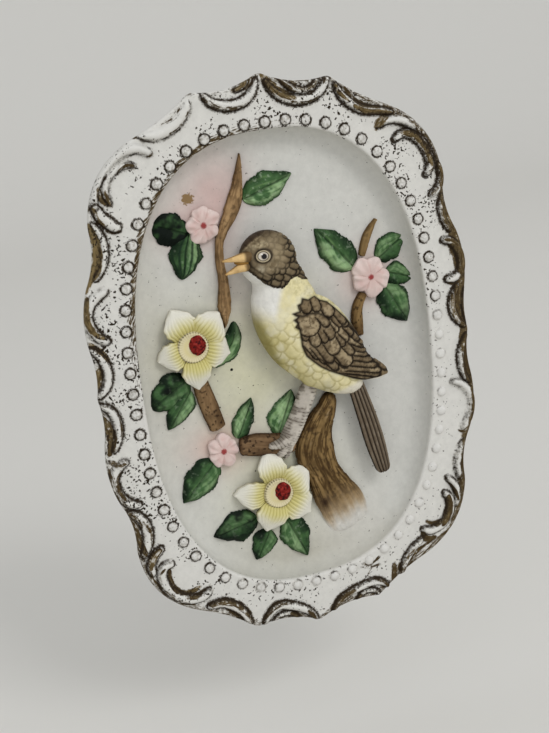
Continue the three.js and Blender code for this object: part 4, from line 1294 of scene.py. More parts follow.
@dataclass(frozen=True)
class Leaf:
    """An applied leaf from stalk to tip, with a sunk rib, veins and a toothed edge."""

    name: str
    stalk: Place
    tip: Place
    width: float
    sweep: float = 0.0
    depth: float = 0.5
    # Which half of the leaf is painted lighter as painted light; the other half is painted darker as painted
    # shade.
    lit_side: int = 1
    teeth: int = 9
    blunt: float = 0.0
    streaks: bool = False
    height: float = 2.0
    around: int = 84
    rows: int = 76

    def build(self, material: Material) -> Mesh:
        """Model and paint the leaf.

        Args:
            material: The leaf glaze.

        Returns:
            The finished piece.
        """
        piece, place, row = new_skin(self.name, self.around, self.rows)
        across, on_top = top_and_under(place, self.around)
        t = row / (self.rows + 1)
        half = self.half_width(t, across)
        x, z = self.spread(t, half * across)
        lift = self.lift(t, across) * on_top - 0.3 * ~on_top
        lift = np.where((t < 0.001) | (t > 0.999), 0.1, lift)
        shape_skin(piece, x, z, PLATE.floor_rise + lift)
        self.paint(piece, t, across)
        finish_piece(piece, Slot.LEAF, material, [self.name])
        return piece

    def half_width(self, t: Array, across: Array) -> Array:
        """The half width along the leaf, with its teeth."""
        pointed = np.sin(math.pi * t**0.72) ** 0.8
        rounded = np.sin(math.pi * t) ** 0.45
        shape = pointed + (rounded - pointed) * self.blunt
        own = sum(map(ord, self.name)) % 17
        count = t * self.teeth + 0.4 * (across > 0) + 0.5 * np.sin(10 * t + own)
        bite = 0.07 + 0.06 * np.sin(2.4 * np.floor(count) + own + 2 * (across > 0))
        lobes = 0.05 * np.sin(9.5 * t + own) + 0.05 * np.sin(17 * t + 1.7 * own + 2 * (across > 0))
        return 0.5 * self.width * shape * (1 + (bite * (count % 1.0 - 0.6) + lobes) * np.abs(across))

    def spread(self, t: Array, side: Array) -> tuple[Array, Array]:
        """Places on the plate for a share of the length and a distance to the side of the rib."""
        dx, dz = self.tip[0] - self.stalk[0], self.tip[1] - self.stalk[1]
        length = math.hypot(dx, dz)
        along = np.array([dx, dz]) / length
        bow = 4 * self.sweep * t * (1 - t)
        turn = np.arctan(-4 * self.sweep * (1 - 2 * t) / length)
        aim_x = along[0] * np.cos(turn) - along[1] * np.sin(turn)
        aim_z = along[0] * np.sin(turn) + along[1] * np.cos(turn)
        x = self.stalk[0] + dx * t + along[1] * bow - aim_z * side
        z = self.stalk[1] + dz * t - along[0] * bow + aim_x * side
        return x, z

    def veins(self, t: Array, across: Array) -> tuple[Array, Array]:
        """How near each corner is to the rib, and to the side veins."""
        rib = bump(across, 0.075) * ramp(1 - t, 0.02, 0.25)
        phase = (t * 5.5 - 0.9 * np.abs(across)) % 1.0
        side = bump(np.minimum(phase, 1 - phase), 0.11) * ramp(np.abs(across), 0.05, 0.2)
        return rib, side * ramp(1 - np.abs(across), 0.05, 0.4)

    def lift(self, t: Array, across: Array) -> Array:
        """The height of the top above the floor."""
        rib, side = self.veins(t, across)
        pillow = (1 - np.abs(across) ** 3.5) * (0.75 + 0.25 * bump(np.abs(across) - 0.5, 0.3))
        wave = 0.10 * np.sin(t * 22 + 3 * across) * np.abs(across)
        body = self.height * pillow * np.clip(np.sin(math.pi * t) * 2.2, 0.25, 1)
        return 0.35 + 0.85 * body - 0.45 * rib - 0.16 * side + wave

    def paint(self, piece: Mesh, t: Array, across: Array) -> None:
        """Brush the leaf in greens, with painted light on one half and painted shade on the other half, along
        the edges and at the tip.
        """
        places = on_plate(piece)
        rib, side = self.veins(t, across)
        rough = fractal(places, 3.2, 61)
        streak = fractal(np.stack([across * 9 + t * 6, t * 3], axis=1), 1.3, 63)
        coats = Paint(len(places), "41623a")
        # Painted light: the pale greens go on one half of the leaf.
        reach = -0.25 - 0.9 * max(0.0, 0.5 - self.depth)
        pale = ramp(across * self.lit_side, reach, 0.4) * ramp(1 - np.abs(across), 0.0, 0.35)
        coats.coat("9ab886", (1 - self.depth) * 1.5 * pale * ramp(rough + 0.4 * streak, 0.42, 0.9))
        coats.coat("6f9358", 0.6 * ramp(streak, 0.5, 0.7) * (1 - self.depth))
        between = 0.5 - np.abs((t * 5.5 - 0.9 * np.abs(across)) % 1.0 - 0.5)
        coats.coat("94b384", 0.7 * (1 - self.depth) * pale * ramp(between + 0.8 * (streak - 0.5), 0.2, 0.5))
        # Painted shade: dark green on the other half, then along the edges and at the tip.
        shade = ramp(-across * self.lit_side, 0.0, 0.6) * (0.45 + 0.6 * self.depth)
        coats.coat("182c19", 1.15 * shade * ramp(rough + 0.3 * streak, 0.3, 0.7))
        coats.coat("102012", ramp(np.abs(across) + 0.4 * rough, 0.85, 1.12) * (0.45 + 0.55 * self.depth))
        coats.coat("102012", ramp(t + 0.35 * rough, 0.82, 1.12) * (0.5 + 0.45 * self.depth))
        coats.coat("17291a", 0.6 * rib + 0.26 * side * ramp(rough, 0.3, 0.6))
        coats.coat("07110a", 1.2 * ramp(self.depth + 0.5 * (rough - 0.5), 0.75, 1.05))
        coats.coat("b9c9ae", 0.35 * (1 - self.depth) * ramp(fractal(places, 1.1, 65), 0.66, 0.8))
        if self.streaks:
            band = np.abs((across * 2.6 + 0.2 * np.sin(t * 5)) % 1.0 - 0.5)
            coats.coat("14291a", 0.85 * ramp(band, 0.2, 0.42))
        coats.store(piece)


LEAVES = (
    Leaf("leaf_top", (-8, 55), (9.6, 61.2), 10.6, depth=0.12, lit_side=-1),
    Leaf("leaf_upper_left_blunt", (-27.0, 46.6), (-39.0, 51.4), 10.8, depth=1.0, blunt=1.0),
    Leaf("leaf_upper_left_folded", (-27.2, 46.8), (-31.4, 32.4), 11, depth=0.6, streaks=True, blunt=0.4),
    Leaf("leaf_by_upper_flower", (-27, 3.4), (-16, 15.8), 8.0, 3.4, lit_side=-1, blunt=0.6),
    Leaf("leaf_far_left", (-33.8, -0.2), (-47.6, -8.4), 12.4, depth=0.85, blunt=0.3),
    Leaf("leaf_left", (-33.6, -4.4), (-42.8, -16.6), 8.8, depth=0.6),
    Leaf("leaf_middle_small", (-19.8, -24.4), (-13.2, -11.2), 7.6, depth=0.45),
    Leaf("leaf_middle", (-5.6, -26.6), (1.2, -11.2), 11.0, depth=0.12),
    Leaf("leaf_lower_left", (-28.2, -30.2), (-41.2, -43), 11.8, depth=0.62),
    Leaf("leaf_low_left", (-16.2, -54), (-32.4, -57.4), 11.4, depth=0.84, lit_side=-1),
    Leaf("leaf_low_middle", (-12.4, -59.2), (-18.4, -69.4), 9.2, depth=0.8),
    Leaf("leaf_low_right", (-6.2, -56), (0.4, -72.4), 10.6, lit_side=-1),
    Leaf("leaf_right_cluster_left", (28.2, 26.4), (15.4, 41.8), 11.8, depth=0.4),
    Leaf("leaf_right_cluster_top", (36.4, 28.2), (48, 35.8), 9.4, depth=0.6),
    Leaf("leaf_right_cluster_side", (39.2, 23.4), (49.6, 19.8), 8.6, depth=0.7),
    Leaf("leaf_right_cluster_low", (38.2, 18.8), (45.8, 4.8), 12.2, depth=0.68),
)


PETAL_SHAPE = (0.40, 0.56, 0.76, 0.93, 1.0, 0.95, 0.76, 0.44, 0.06)


@dataclass(frozen=True)
class YellowFlower:
    """A yellow flower: ribbed pointed petals about a cream disc with a red grained heart."""

    name: str
    centre: Place
    petals: tuple[tuple[float, float, float], ...]
    heart_offset: Place = (1.4, 0.6)
    heart_radius: tuple[float, float] = (2.8, 3.4)
    ribs: int = 9
    disc_radius: float = 5.3

    def build(self, glaze: Material) -> Mesh:
        """Model the flower.

        Args:
            glaze: The petal glaze.

        Returns:
            The finished piece.
        """
        parts = [self.petal(k, *petal) for k, petal in enumerate(self.petals)]
        parts += [self.disc(), self.heart()]
        piece = join_pieces(parts, self.name)
        finish_piece(piece, Slot.YELLOW, glaze, [self.name])
        return piece

    def petal(self, number: int, degrees: float, length: float, width: float) -> Mesh:
        """One petal from the disc to its tip."""
        around, rows = 92, 58
        piece, place, row = new_skin(f"{self.name}_petal", around, rows)
        across, on_top = top_and_under(place, around)
        t = row / (rows + 1)
        shape = through(np.array(PETAL_SHAPE)[:, None], t)[:, 0]
        shape = shape * np.sqrt(np.clip(np.minimum(t, 1 - t) / 0.02, 0, 1))
        ruffle = 1 + (0.035 * np.sin(t * 29 + 2.1 * number + across)
                      + 0.05 * np.sin(t * 8 + 3.3 * number + 2 * (across > 0))) * np.abs(across)
        side = 0.5 * width * shape * ruffle * across
        angle = math.radians(degrees)
        reach = length * (0.10 + 0.90 * t)
        x = self.centre[0] + reach * math.cos(angle) - side * math.sin(angle)
        z = self.centre[1] + reach * math.sin(angle) + side * math.cos(angle)
        rib = np.cos(across * math.pi * self.ribs)
        hill = 1.7 + 2.9 * np.sin(math.pi * np.clip(t * 1.02, 0, 1)) ** 1.3 + 0.5 * (number % 2)
        crown = (1 - np.abs(across) ** 3) * 0.9 * ramp(t, 0.1, 0.5)
        lift = np.where(on_top, hill + crown + 0.13 * rib * ramp(t, 0.05, 0.3) * ramp(1 - t, 0.05, 0.5),
                        hill - 1.7)
        lift = np.where(row == 0, 2.4, np.where(row == rows + 1, 1.5, lift))
        shape_skin(piece, x, z, PLATE.floor_rise + lift)
        coats = Paint(len(t), "cfc684")
        whitening = ramp(t + 0.16 * fractal(on_plate(piece), 4.0, 71) + 0.12 * np.abs(across), 0.45, 0.95)
        coats.coat("e4e1d4", whitening)
        coats.coat("a3984c", 0.6 * ramp(-rib, 0.3, 1.0) * ramp(1 - t, 0.15, 0.6) * (1 - 0.7 * whitening))
        coats.coat("a3996f", 0.55 * ramp(np.abs(across), 0.93, 1.0) * ramp(1 - t, 0.0, 0.4))
        coats.store(piece)
        return piece

    def disc(self) -> Mesh:
        """The cream disc with a rim of dark dots."""
        piece, angle, polar = round_skin(f"{self.name}_disc", 144, 40)
        radius = self.disc_radius * np.sin(polar) ** 0.7
        edge = radius / self.disc_radius
        rim = 0.35 * bump(edge - 0.9, 0.12) * (polar < math.pi / 2)
        rise = 4.1 + np.minimum(np.cos(polar), 0.62) * 1.3 + rim
        shape_skin(piece, self.centre[0] + radius * np.cos(angle),
                   self.centre[1] + radius * np.sin(angle), PLATE.floor_rise + rise)
        coats = Paint(len(polar), "ddd3ae")
        coats.coat("d2c27c", 0.5 * bump(edge - 0.5, 0.15))
        coats.coat("b3a064", 0.4 * ramp(np.cos(angle * 34), 0.0, 0.9) * ramp(edge, 0.5, 0.85))
        dots = ramp(np.cos(angle * 34), -0.4, 0.6) * (0.75 + 0.25 * np.sin(angle * 3 + 1))
        coats.coat("2e2416", (0.25 + 0.7 * dots) * bump(edge - 0.95, 0.05) * (polar < math.pi / 2))
        coats.store(piece)
        return piece

    def heart(self) -> Mesh:
        """The red heart, grained like pollen."""
        piece, angle, polar = round_skin(f"{self.name}_heart", 64, 40)
        x = self.centre[0] + self.heart_offset[0] + self.heart_radius[0] * np.sin(polar) * np.cos(angle)
        z = self.centre[1] + self.heart_offset[1] + self.heart_radius[1] * np.sin(polar) * np.sin(angle)
        shape_skin(piece, x, z, PLATE.floor_rise + 4.7 + 1.8 * np.cos(polar))
        grains = fractal(np.stack([x, z, polar], axis=1), 0.55, 73, 2)
        emboss(piece, 0.5 * (grains - 0.5))
        coats = Paint(len(polar), "761812")
        coats.coat("38090b", ramp(0.52 - grains, 0.0, 0.2))
        coats.coat("b04038", 0.5 * ramp(grains, 0.6, 0.75))
        coats.store(piece)
        return piece


YELLOW_FLOWERS = (
    YellowFlower("yellow_flower_upper", (-31.6, 10.6),
                 ((112, 13.8, 11.6), (42, 14.4, 12.0), (-20, 13.6, 11.4), (-88, 15.0, 9.8),
                  (196, 12.2, 9.6))),
    YellowFlower("yellow_flower_lower", (-8.7, -45.4),
                 ((97, 15.2, 10.4), (24, 13.6, 11.8), (-42, 15.4, 11.8), (-112, 14.6, 11.2),
                  (174, 15.2, 9.6))),
)


@dataclass(frozen=True)
class PinkFlower:
    """A small pink flower: five round petals about a red dot."""

    name: str
    centre: Place
    radius: float
    turn: float = 90.0
    petals: int = 5
    height: float = 3.0

    def build(self, glaze: Material) -> Mesh:
        """Model the flower.

        Args:
            glaze: The petal glaze.

        Returns:
            The finished piece.
        """
        piece, angle, polar = round_skin(self.name, 160, 60)
        lobe = np.abs(np.cos((angle - math.radians(self.turn)) * self.petals / 2))
        uneven = 1 + 0.07 * np.sin(angle * 2 + self.turn) + 0.045 * np.sin(angle * 7 + 2 * self.turn)
        rim = self.radius * (0.80 + 0.20 * lobe**0.6) * uneven
        share = np.sin(polar) ** 0.8
        radius = rim * share
        on_top = polar < math.pi / 2
        groove = bump(lobe, 0.22) * ramp(share, 0.15, 0.5)
        cup = self.height * (0.55 + 0.45 * np.cos(polar)) - 0.5 * bump(share, 0.35) - 0.35 * groove
        fold = 0.25 * np.sin(angle * self.petals * 2 + 3 * share) * ramp(share, 0.3, 0.8)
        rise = np.where(on_top, cup + fold, 0.3 * self.height * (1 + np.cos(polar)) - 0.2)
        shape_skin(piece, self.centre[0] + radius * np.cos(angle),
                   self.centre[1] + radius * np.sin(angle), PLATE.floor_rise + rise)
        coats = Paint(len(polar), "dac4bd")
        coats.coat("c9a9a2", 0.5 * bump(share - 0.2, 0.25) + 0.22 * groove)
        cloud = ramp(fractal(on_plate(piece), 3.0, 75), 0.42, 0.62)
        coats.coat("cfaaa3", 0.6 * cloud * ramp(share, 0.3, 0.7))
        coats.coat("e0d0ca", 0.6 * ramp(share, 0.55, 1.0))
        dot = np.hypot(radius * np.cos(angle) + 0.1, radius * np.sin(angle))
        coats.coat("96403f", ramp(1.15 - dot, 0.0, 0.3) * on_top)
        coats.store(piece)
        emboss(piece, 0.3 * ramp(1.2 - dot, 0.0, 0.6) * on_top)
        finish_piece(piece, Slot.PINK, glaze, [self.name])
        return piece


PINK_FLOWERS = (
    PinkFlower("pink_flower_upper", (-22.4, 49), 5.9, 100),
    PinkFlower("pink_flower_left", (-25.4, -27.2), 5.7, 80),
    PinkFlower("pink_flower_right", (33.2, 22.8), 7.0, 60),
)


# --- The bird ---


@dataclass(frozen=True)
class Feather:
    """A feather from its root to its tip; point is how much longer its end is than a half circle."""

    root: Place
    tip: Place
    width: float
    point: float = 1.0


@dataclass
class Plumage:
    """Overlapping feathers as fields: height, dark edges and their shade, a tone each and barbs."""

    height: Array
    line: Array
    shade: Array
    tone: Array
    barbs: Array

    @classmethod
    def over(cls, places: Array, feathers: Sequence[Feather], line_width: float) -> "Plumage":
        """Lay feathers, the undermost first.

        Args:
            places: Rows of x and z.
            feathers: The feathers.
            line_width: The width of a feather's dark edge.

        Returns:
            The fields at the places.
        """
        found = cls(*(np.zeros(len(places)) for _ in range(5)))
        for number, feather in enumerate(feathers):
            found.lay(places, feather, line_width, number)
        return found

    def lay(self, places: Array, feather: Feather, line_width: float, number: int) -> None:
        """Lay one feather over those already there."""
        root, tip = np.array(feather.root), np.array(feather.tip)
        length = np.linalg.norm(tip - root)
        aim = (tip - root) / length
        near = np.flatnonzero(np.abs(places - root).max(axis=1) < length + feather.width)
        offset = places[near] - root
        along = offset @ aim
        aside = offset @ np.array([-aim[1], aim[0]])
        half = feather.width / 2
        beyond = np.maximum(along - (length - half * feather.point), 0) / feather.point
        depth = np.minimum(half - np.hypot(beyond, aside), along + half)
        inside = depth > 0
        own = near[inside]
        share = np.clip(along[inside] / length, 0, 1)
        self.height[own] = 0.28 * np.sqrt(np.clip(depth[inside] / half, 0, 1)) + 0.34 * share
        self.tone[own] = (number * 0.618) % 1.0
        self.barbs[own] = np.cos((along[inside] + 1.3 * np.abs(aside[inside])) * 7.0)
        self.line[own] = bump(depth[inside], line_width) * ramp(share, 0.0, 0.2)
        self.shade[own] = bump(depth[inside], 3 * line_width) * ramp(share, 0.1, 0.6)
        rim = near[(depth <= 0) & (depth > -line_width) & (along > 0)]
        self.line[rim] = np.maximum(self.line[rim], 0.9)


def feather_field(start: Place, heading: float, rows: int, pitch: float, width: float,
                  breadth: float, fan: float = 0.0) -> list[Feather]:
    """Rows of scale-like feathers that cover a patch, the farthest row undermost.

    Args:
        start: The middle of the topmost row.
        heading: The way the feathers point, in degrees from +X.
        rows: How many rows.
        pitch: The distance from row to row.
        width: The width of a feather.
        breadth: The breadth of the patch.
        fan: How far the heading turns across the patch.

    Returns:
        The feathers, the undermost first.
    """
    turn = math.radians(heading)
    aim = np.array([math.cos(turn), math.sin(turn)])
    aside = np.array([aim[1], -aim[0]])
    found = []
    for k in reversed(range(rows)):
        count = int(breadth / (width * 0.86)) + k % 2
        for n in range(count):
            share = n / (count - 1) - 0.5
            stray = math.sin(7.1 * n + 3.7 * k), math.cos(5.3 * n + 2.9 * k)
            root = np.array(start) + aim * (pitch * k + 0.16 * width * stray[0])
            root = root - aside * 2 * share * (count - 1) * width * 0.43
            lean = turn + math.radians(-fan * share + 7 * stray[1])
            tip = root + pitch * (1.75 + 0.12 * stray[1]) * np.array([math.cos(lean), math.sin(lean)])
            found.append(Feather((root[0], root[1]), (tip[0], tip[1]), width * (1 + 0.12 * stray[0])))
    return found


HOOD_EDGE = ((-16, 39.0), (-12.5, 35.2), (-11, 33), (-9, 31), (-6, 28), (-3, 26), (0, 25.4), (1.5, 26.4),
             (3, 28), (5, 28.6), (6.5, 27.4), (9, 26.8))


WING_PLACE = (1.4, -0.7)
WING = tuple(Feather(*feather) for feather in (
    ((21.0, 7.5), (32.4, -7.8), 3.4, 1.6),
    ((12.0, -4.2), (26.6, -9.4), 2.2, 2.2), ((15.0, -4.6), (29.4, -9.0), 2.1, 2.2),
    ((17.0, -4.2), (29.8, -7.7), 2.1, 2.0), ((17.6, -2.6), (28.6, -5.8), 2.1, 2.0),
    ((18.0, -0.6), (27.0, -3.6), 2.1, 2.0), ((18.4, 1.2), (25.6, -1.4), 2.1, 2.0),
    ((17.6, 3.2), (25.2, 0.2), 2.1, 1.8), ((18.2, 5.4), (24.6, 1.8), 2.1, 1.8),
    ((20.4, 7.4), (24.2, 2.4), 1.8, 1.8), ((18.8, 9.6), (22.6, 4.0), 2.0, 1.6),
    ((4.0, 7.2), (8.2, 0.4), 2.4, 1.8), ((6.4, 5.4), (10.6, -1.6), 2.4, 1.8),
    ((9.8, 1.4), (14.4, -4.4), 2.8, 1.6), ((12.8, 1.4), (17.8, -4.2), 2.4, 1.6),
    ((8.6, 5.6), (12.8, -1.6), 3.4, 1.4), ((15.4, 2.2), (18.9, -3.7), 4.8, 1.1),
    ((17.2, 4.0), (20.4, -0.2), 2.6, 1.2), ((17.6, 10.2), (20.6, 6.2), 2.4, 1.3),
    ((15.6, 9.0), (18.8, 4.6), 3.4, 1.2), ((14.4, 7.2), (17.6, 3.3), 2.6, 1.2),
    ((12.2, 6.6), (14.6, 0.9), 4.9, 1.1), ((16.4, 13.4), (19.2, 9.6), 2.2, 1.4),
    ((13.6, 14.2), (17.2, 10.1), 2.9, 1.2), ((12.6, 12.0), (15.8, 8.5), 2.4, 1.2),
    ((11.0, 11.6), (13.6, 6.3), 4.3, 1.1), ((9.4, 9.4), (11.6, 5.6), 2.6),
    ((6.6, 9.6), (8.4, 4.8), 3.8), ((3.4, 11.0), (4.8, 7.4), 2.4),
    ((5.6, 16.0), (6.6, 8.6), 7.2, 0.8), ((9.6, 15.6), (12.7, 10.9), 2.8, 1.2),
    ((15.0, 16.6), (18.4, 10.6), 2.6, 1.4), ((11.2, 19.6), (14.2, 14.0), 3.8, 1.1),
    ((8.6, 20.2), (9.7, 16.4), 3.0), ((5.2, 20.4), (6.3, 16.4), 3.8),
))
WING_EDGE = ((6.0, 21.0), (8.0, 20.2), (10.3, 21.0), (12, 19.4), (14.4, 18.4), (17, 15.8), (20.4, 11.8),
             (22.6, 8.6), (24.6, 5.2), (28.2, -0.3), (32.0, -5.0), (34.4, -8.2), (33.8, -10.0), (30, -10.6),
             (25, -10.6), (21, -9.2), (17, -7.3), (13, -5.2), (10, -3.2), (7.6, -0.9), (5.4, 1.4),
             (4.2, 5.0), (4.0, 10.6), (2.6, 11.8), (3.5, 12.9), (2.4, 14.2), (3.9, 15.0), (2.2, 16.4),
             (4.6, 16.8), (4.2, 19.0), (5.4, 19.4))


def inside_depth(places: Array, ring: tuple[Place, ...]) -> Array:
    """How far each place lies inside a closed ring of places; outside it is below zero."""
    corner = np.array(ring)
    following = np.roll(corner, -1, axis=0)
    nearest = np.full(len(places), np.inf)
    inside = np.zeros(len(places), dtype=bool)
    for a, b in zip(corner, following):
        step = b - a
        share = np.clip((places - a) @ step / (step @ step), 0, 1)
        nearest = np.minimum(nearest, np.linalg.norm(places - a - share[:, None] * step, axis=1))
        crosses = (a[1] > places[:, 1]) != (b[1] > places[:, 1])
        level = a[0] + (places[:, 1] - a[1]) * step[0] / (step[1] or 1e-9)
        inside ^= crosses & (places[:, 0] < level)
    return np.where(inside, nearest, -nearest)


@dataclass
class BirdBody:
    """The bird's trunk, head and folded wing as one smooth form, carved with feathers."""

    trunk: Stations = (
        (-3.0, 34, 7.6, 5.6, 7.0), (-0.9, 28, 8.8, 5.4, 7.2), (0.0, 22, 10.8, 5.2, 7.8),
        (1.6, 15, 12.0, 5, 8.6), (6.0, 7, 12.4, 5, 9.0), (11.8, -2, 9.8, 5, 8.2), (17.6, -8.4, 6.6, 4.8, 5.6),
        (25, -13.4, 2.9, 4.8, 2.6))
    wing: Stations = (
        (7.6, 21.0, 3.0, 9.2, 3.2), (9.4, 17, 6.0, 9.2, 4.6), (11.4, 12, 7.8, 9.2, 5.2),
        (14.4, 5, 8.8, 9, 5.2), (19.2, -1.4, 7.4, 8.4, 4.4), (25, -6.2, 4.8, 7.6, 3),
        (34.0, -10, 1.4, 6.8, 1.4))
    head_centre: Place = (-3.9, 35.8)
    head_radius: float = 9.3
    head_rise: float = 6.6
    head_depth: float = 9.1
    grain: float = 0.28
    wing_step: float = 0.35

    def build(self, material: Material) -> Mesh:
        """Model the body.

        Args:
            material: The bird's glaze.

        Returns:
            The finished piece.
        """
        trunk = Loft("bird_trunk", self.trunk, around=72, rows=90, end_round=0.08).build()
        wing = Loft("bird_wing", self.wing, around=60, rows=80, end_round=0.07).build()
        piece = join_pieces([trunk, wing, self.head(), self.thigh()], "bird_body")
        self.smooth_together(piece)
        seen = as_seen(piece)
        front = ramp(facing_front(piece), -0.15, 0.35)
        winged = inside_depth(seen, WING_EDGE)
        hooded = seen[:, 1] > np.interp(seen[:, 0], *np.array(HOOD_EDGE).T)
        face = bump(np.hypot(seen[:, 0] + 6.5, seen[:, 1] - 37.0), 5.0)
        soft = Plumage.over(seen, feather_field((-1, 25), -66, 14, 3.2, 4.4, 32, 26), 0.26)
        scaled = Plumage.over(seen, feather_field((-9, 44.5), -42, 12, 2.0, 2.7, 26, 10), 0.27)
        quills = Plumage.over(seen - np.array(WING_PLACE), WING, 0.29)
        height = np.where(hooded, (0.5 * scaled.height - 0.2 * scaled.line) * (1 - face) + 0.1,
                          0.24 * soft.height - 0.05 * soft.line)
        on_wing = ramp(winged, -0.1, 0.3)
        feathered = 0.7 * quills.height - 0.45 * quills.line + 0.03 * quills.barbs
        feathered = self.wing_step + feathered * ramp(winged, 0.0, 1.1) * ramp(35.5 - seen[:, 0], 0.0, 6.0)
        emboss(piece, (height + (feathered - height) * on_wing) * front)
        coats = Paint(len(seen), "e0d6a8")
        self.paint_body(coats, seen, soft)
        self.paint_hood(coats, seen, hooded, scaled)
        self.paint_wing(coats, seen, winged, quills)
        coats.store(piece)
        finish_piece(piece, Slot.BIRD, material, ["bird"])
        return piece

    def head(self) -> Mesh:
        """The round head."""
        x, z = self.head_centre
        r, d = self.head_radius, self.head_depth
        piece, _, _ = new_skin("bird_head", 64, 40)
        ball = corners(piece)
        shape_skin(piece, x + ball[:, 0] * r, z + ball[:, 2] * r,
                   PLATE.floor_rise + self.head_rise - ball[:, 1] * d)
        return piece

    def thigh(self) -> Mesh:
        """The feathered thigh above the leg."""
        stations = ((9.5, 0, 5.0, 5.5, 4.5), (8.2, -6, 4.4, 5.2, 4.2), (7.0, -10.2, 3.4, 4.6, 3.4))
        return Loft("bird_thigh", stations, around=40, rows=30, end_round=0.25).build()

    def smooth_together(self, piece: Mesh) -> None:
        """Melt the parts into one even skin."""
        activate(piece)
        melt = piece.modifiers.new("melt", "REMESH")
        melt.mode = "VOXEL"
        melt.voxel_size = self.grain * MM
        bpy.ops.object.modifier_apply(modifier=melt.name)
        soften = piece.modifiers.new("soften", "SMOOTH")
        soften.factor = 0.5
        soften.iterations = 24
        bpy.ops.object.modifier_apply(modifier=soften.name)

    def paint_body(self, coats: Paint, seen: Array, soft: Plumage) -> None:
        """Paint the throat and the yellow breast, flank and back, with painted shade down the breast's left
        edge.
        """
        x, z = seen[:, 0], seen[:, 1]
        rough = fractal(seen, 3.0, 81)
        fine = fractal(seen, 0.8, 83)
        coats.coat("bdb274", 0.7 * ramp(-(x + 0.42 * (z - 10)), -2.5, 6.0) * ramp(22 - z, 0, 14))
        coats.coat("e2dcc0", 0.6 * ramp(rough, 0.45, 0.75))
        coats.coat("8c7f46", 0.5 * soft.line * ramp(rough + 0.3, 0.35, 0.85) * ramp(14 - z + 0.5 * x, -4, 6))
        coats.coat("958a50", 0.30 * ramp(z - 0.75 * (17 - x), 10.5, 14) * ramp(fine, 0.45, 0.7))
        coats.coat("a89a58", 0.30 * soft.shade * ramp(fine + 0.2, 0.35, 0.7) * ramp(16 - z, 0, 8))
        # Painted shade down the breast's left edge, on the side away from the light.
        coats.coat("83793f", 0.75 * ramp(-9.0 - x + 0.32 * (20 - z), -0.6, 2.2) * ramp(24 - z, 0, 6))
        throat = ramp(1.0 - x - 0.32 * (25 - z), 0, 3.0) * ramp(z + 0.6 * x, 8.5, 17.0)
        coats.coat("e6e4dd", throat)
        coats.coat("e2dcc6", 0.85 * ramp(x - 0.8 * (z + 12), 20.5, 25))
        coats.coat("8f8a5c", 0.35 * bump(z + 12 - 0.3 * (x - 7), 1.5) * ramp(14 - x, 0, 3))
        coats.coat("e6e0d2", 0.8 * ramp(0.25 * (x - 16) - z - 11.6 + 0.8 * (rough - 0.5), 0.0, 1.8)
                   * ramp(x, 12, 16))

    def paint_hood(self, coats: Paint, seen: Array, hooded: Array, scaled: Plumage) -> None:
        """Paint the brown hood with its dark scales and pale face, and painted highlights on the round of the
        head.
        """
        x, z = seen[:, 0], seen[:, 1]
        rough = fractal(seen, 2.6, 85)
        fine = fractal(seen, 0.9, 87)
        coats.coat("76674e", hooded * 1.0)
        # Painted highlight: a lighter patch on the middle of the round head.
        coats.coat("94846a", hooded * 0.85 * bump(np.hypot(x + 2, z - 35.5), 7.5) * ramp(rough, 0.35, 0.65))
        coats.coat("cdbd9a", hooded * 0.8 * bump(np.hypot(x + 6.4, (z - 40.7) * 2.4), 2.9)
                   * ramp(fine, 0.25, 0.55))
        coats.coat("c9bea4", hooded * 0.75 * bump(np.hypot(x + 6.6, z - 33.0), 1.2) * ramp(fine, 0.3, 0.55))
        coats.coat("b8a888", hooded * 0.6 * bump(np.hypot(x + 2.7, z - 33.2), 1.9) * ramp(fine, 0.3, 0.6))
        # Painted highlight on the crown.
        coats.coat("9c8c6c", hooded * 0.55 * bump(np.hypot(x + 0.2, z - 37.5), 3.2) * ramp(rough, 0.3, 0.6))
        jaw = z - np.interp(x, (-12.5, -9, -5.5, -1), (36.0, 31.6, 28.6, 26.8))
        jaw_lines = bump(jaw, 0.5) + 0.7 * bump(jaw - 1.9, 0.45)
        coats.coat("2a1e12", hooded * 0.85 * jaw_lines * ramp(-3 - x, 0, 3))
        over = z - 41.0 - 0.62 * (x + 10.5)
        coats.coat("c2b291", hooded * 0.55 * bump(over + 0.5, 0.3) * ramp(-3 - x, 0, 2)
                   * ramp(fine, 0.3, 0.55))
        coats.coat("3d3026", hooded * 0.9 * ramp(over, -0.3, 0.4) * ramp(-1.5 - x, 0, 3))
        coats.coat("43362a", hooded * 0.7 * ramp(z - 0.1 * x + 0.8 * rough, 43.4, 45.0))
        coats.coat("4a3d2c", hooded * 0.6 * ramp(-x - 0.5 * (z - 37), 8.6, 11.5) * ramp(z, 38, 40))
        outlined = np.maximum(ramp(33.8 - z + 0.25 * x, 0, 4), ramp(x, 0.5, 4.0))
        coats.coat("2c2012", hooded * scaled.shade * np.clip(0.1 + 0.5 * outlined, 0, 0.6))
        coats.coat("171007", hooded * scaled.line * np.clip(0.25 + 0.85 * outlined, 0, 1))
        rim = np.abs(z - np.interp(x, *np.array(HOOD_EDGE).T))
        coats.coat("221910", hooded * 0.9 * bump(rim, 0.7))
        gape = np.hypot(x + 10.6 + 0.3 * (z - 35.6), (z - 35.6) / 2.6)
        coats.coat("1a120a", 0.9 * bump(gape, 1.2) * hooded)
        coats.coat("1c130b", 0.95 * hooded * bump(np.hypot((x + 5.4) / 1.28, z - 37) - 2.2, 0.36))

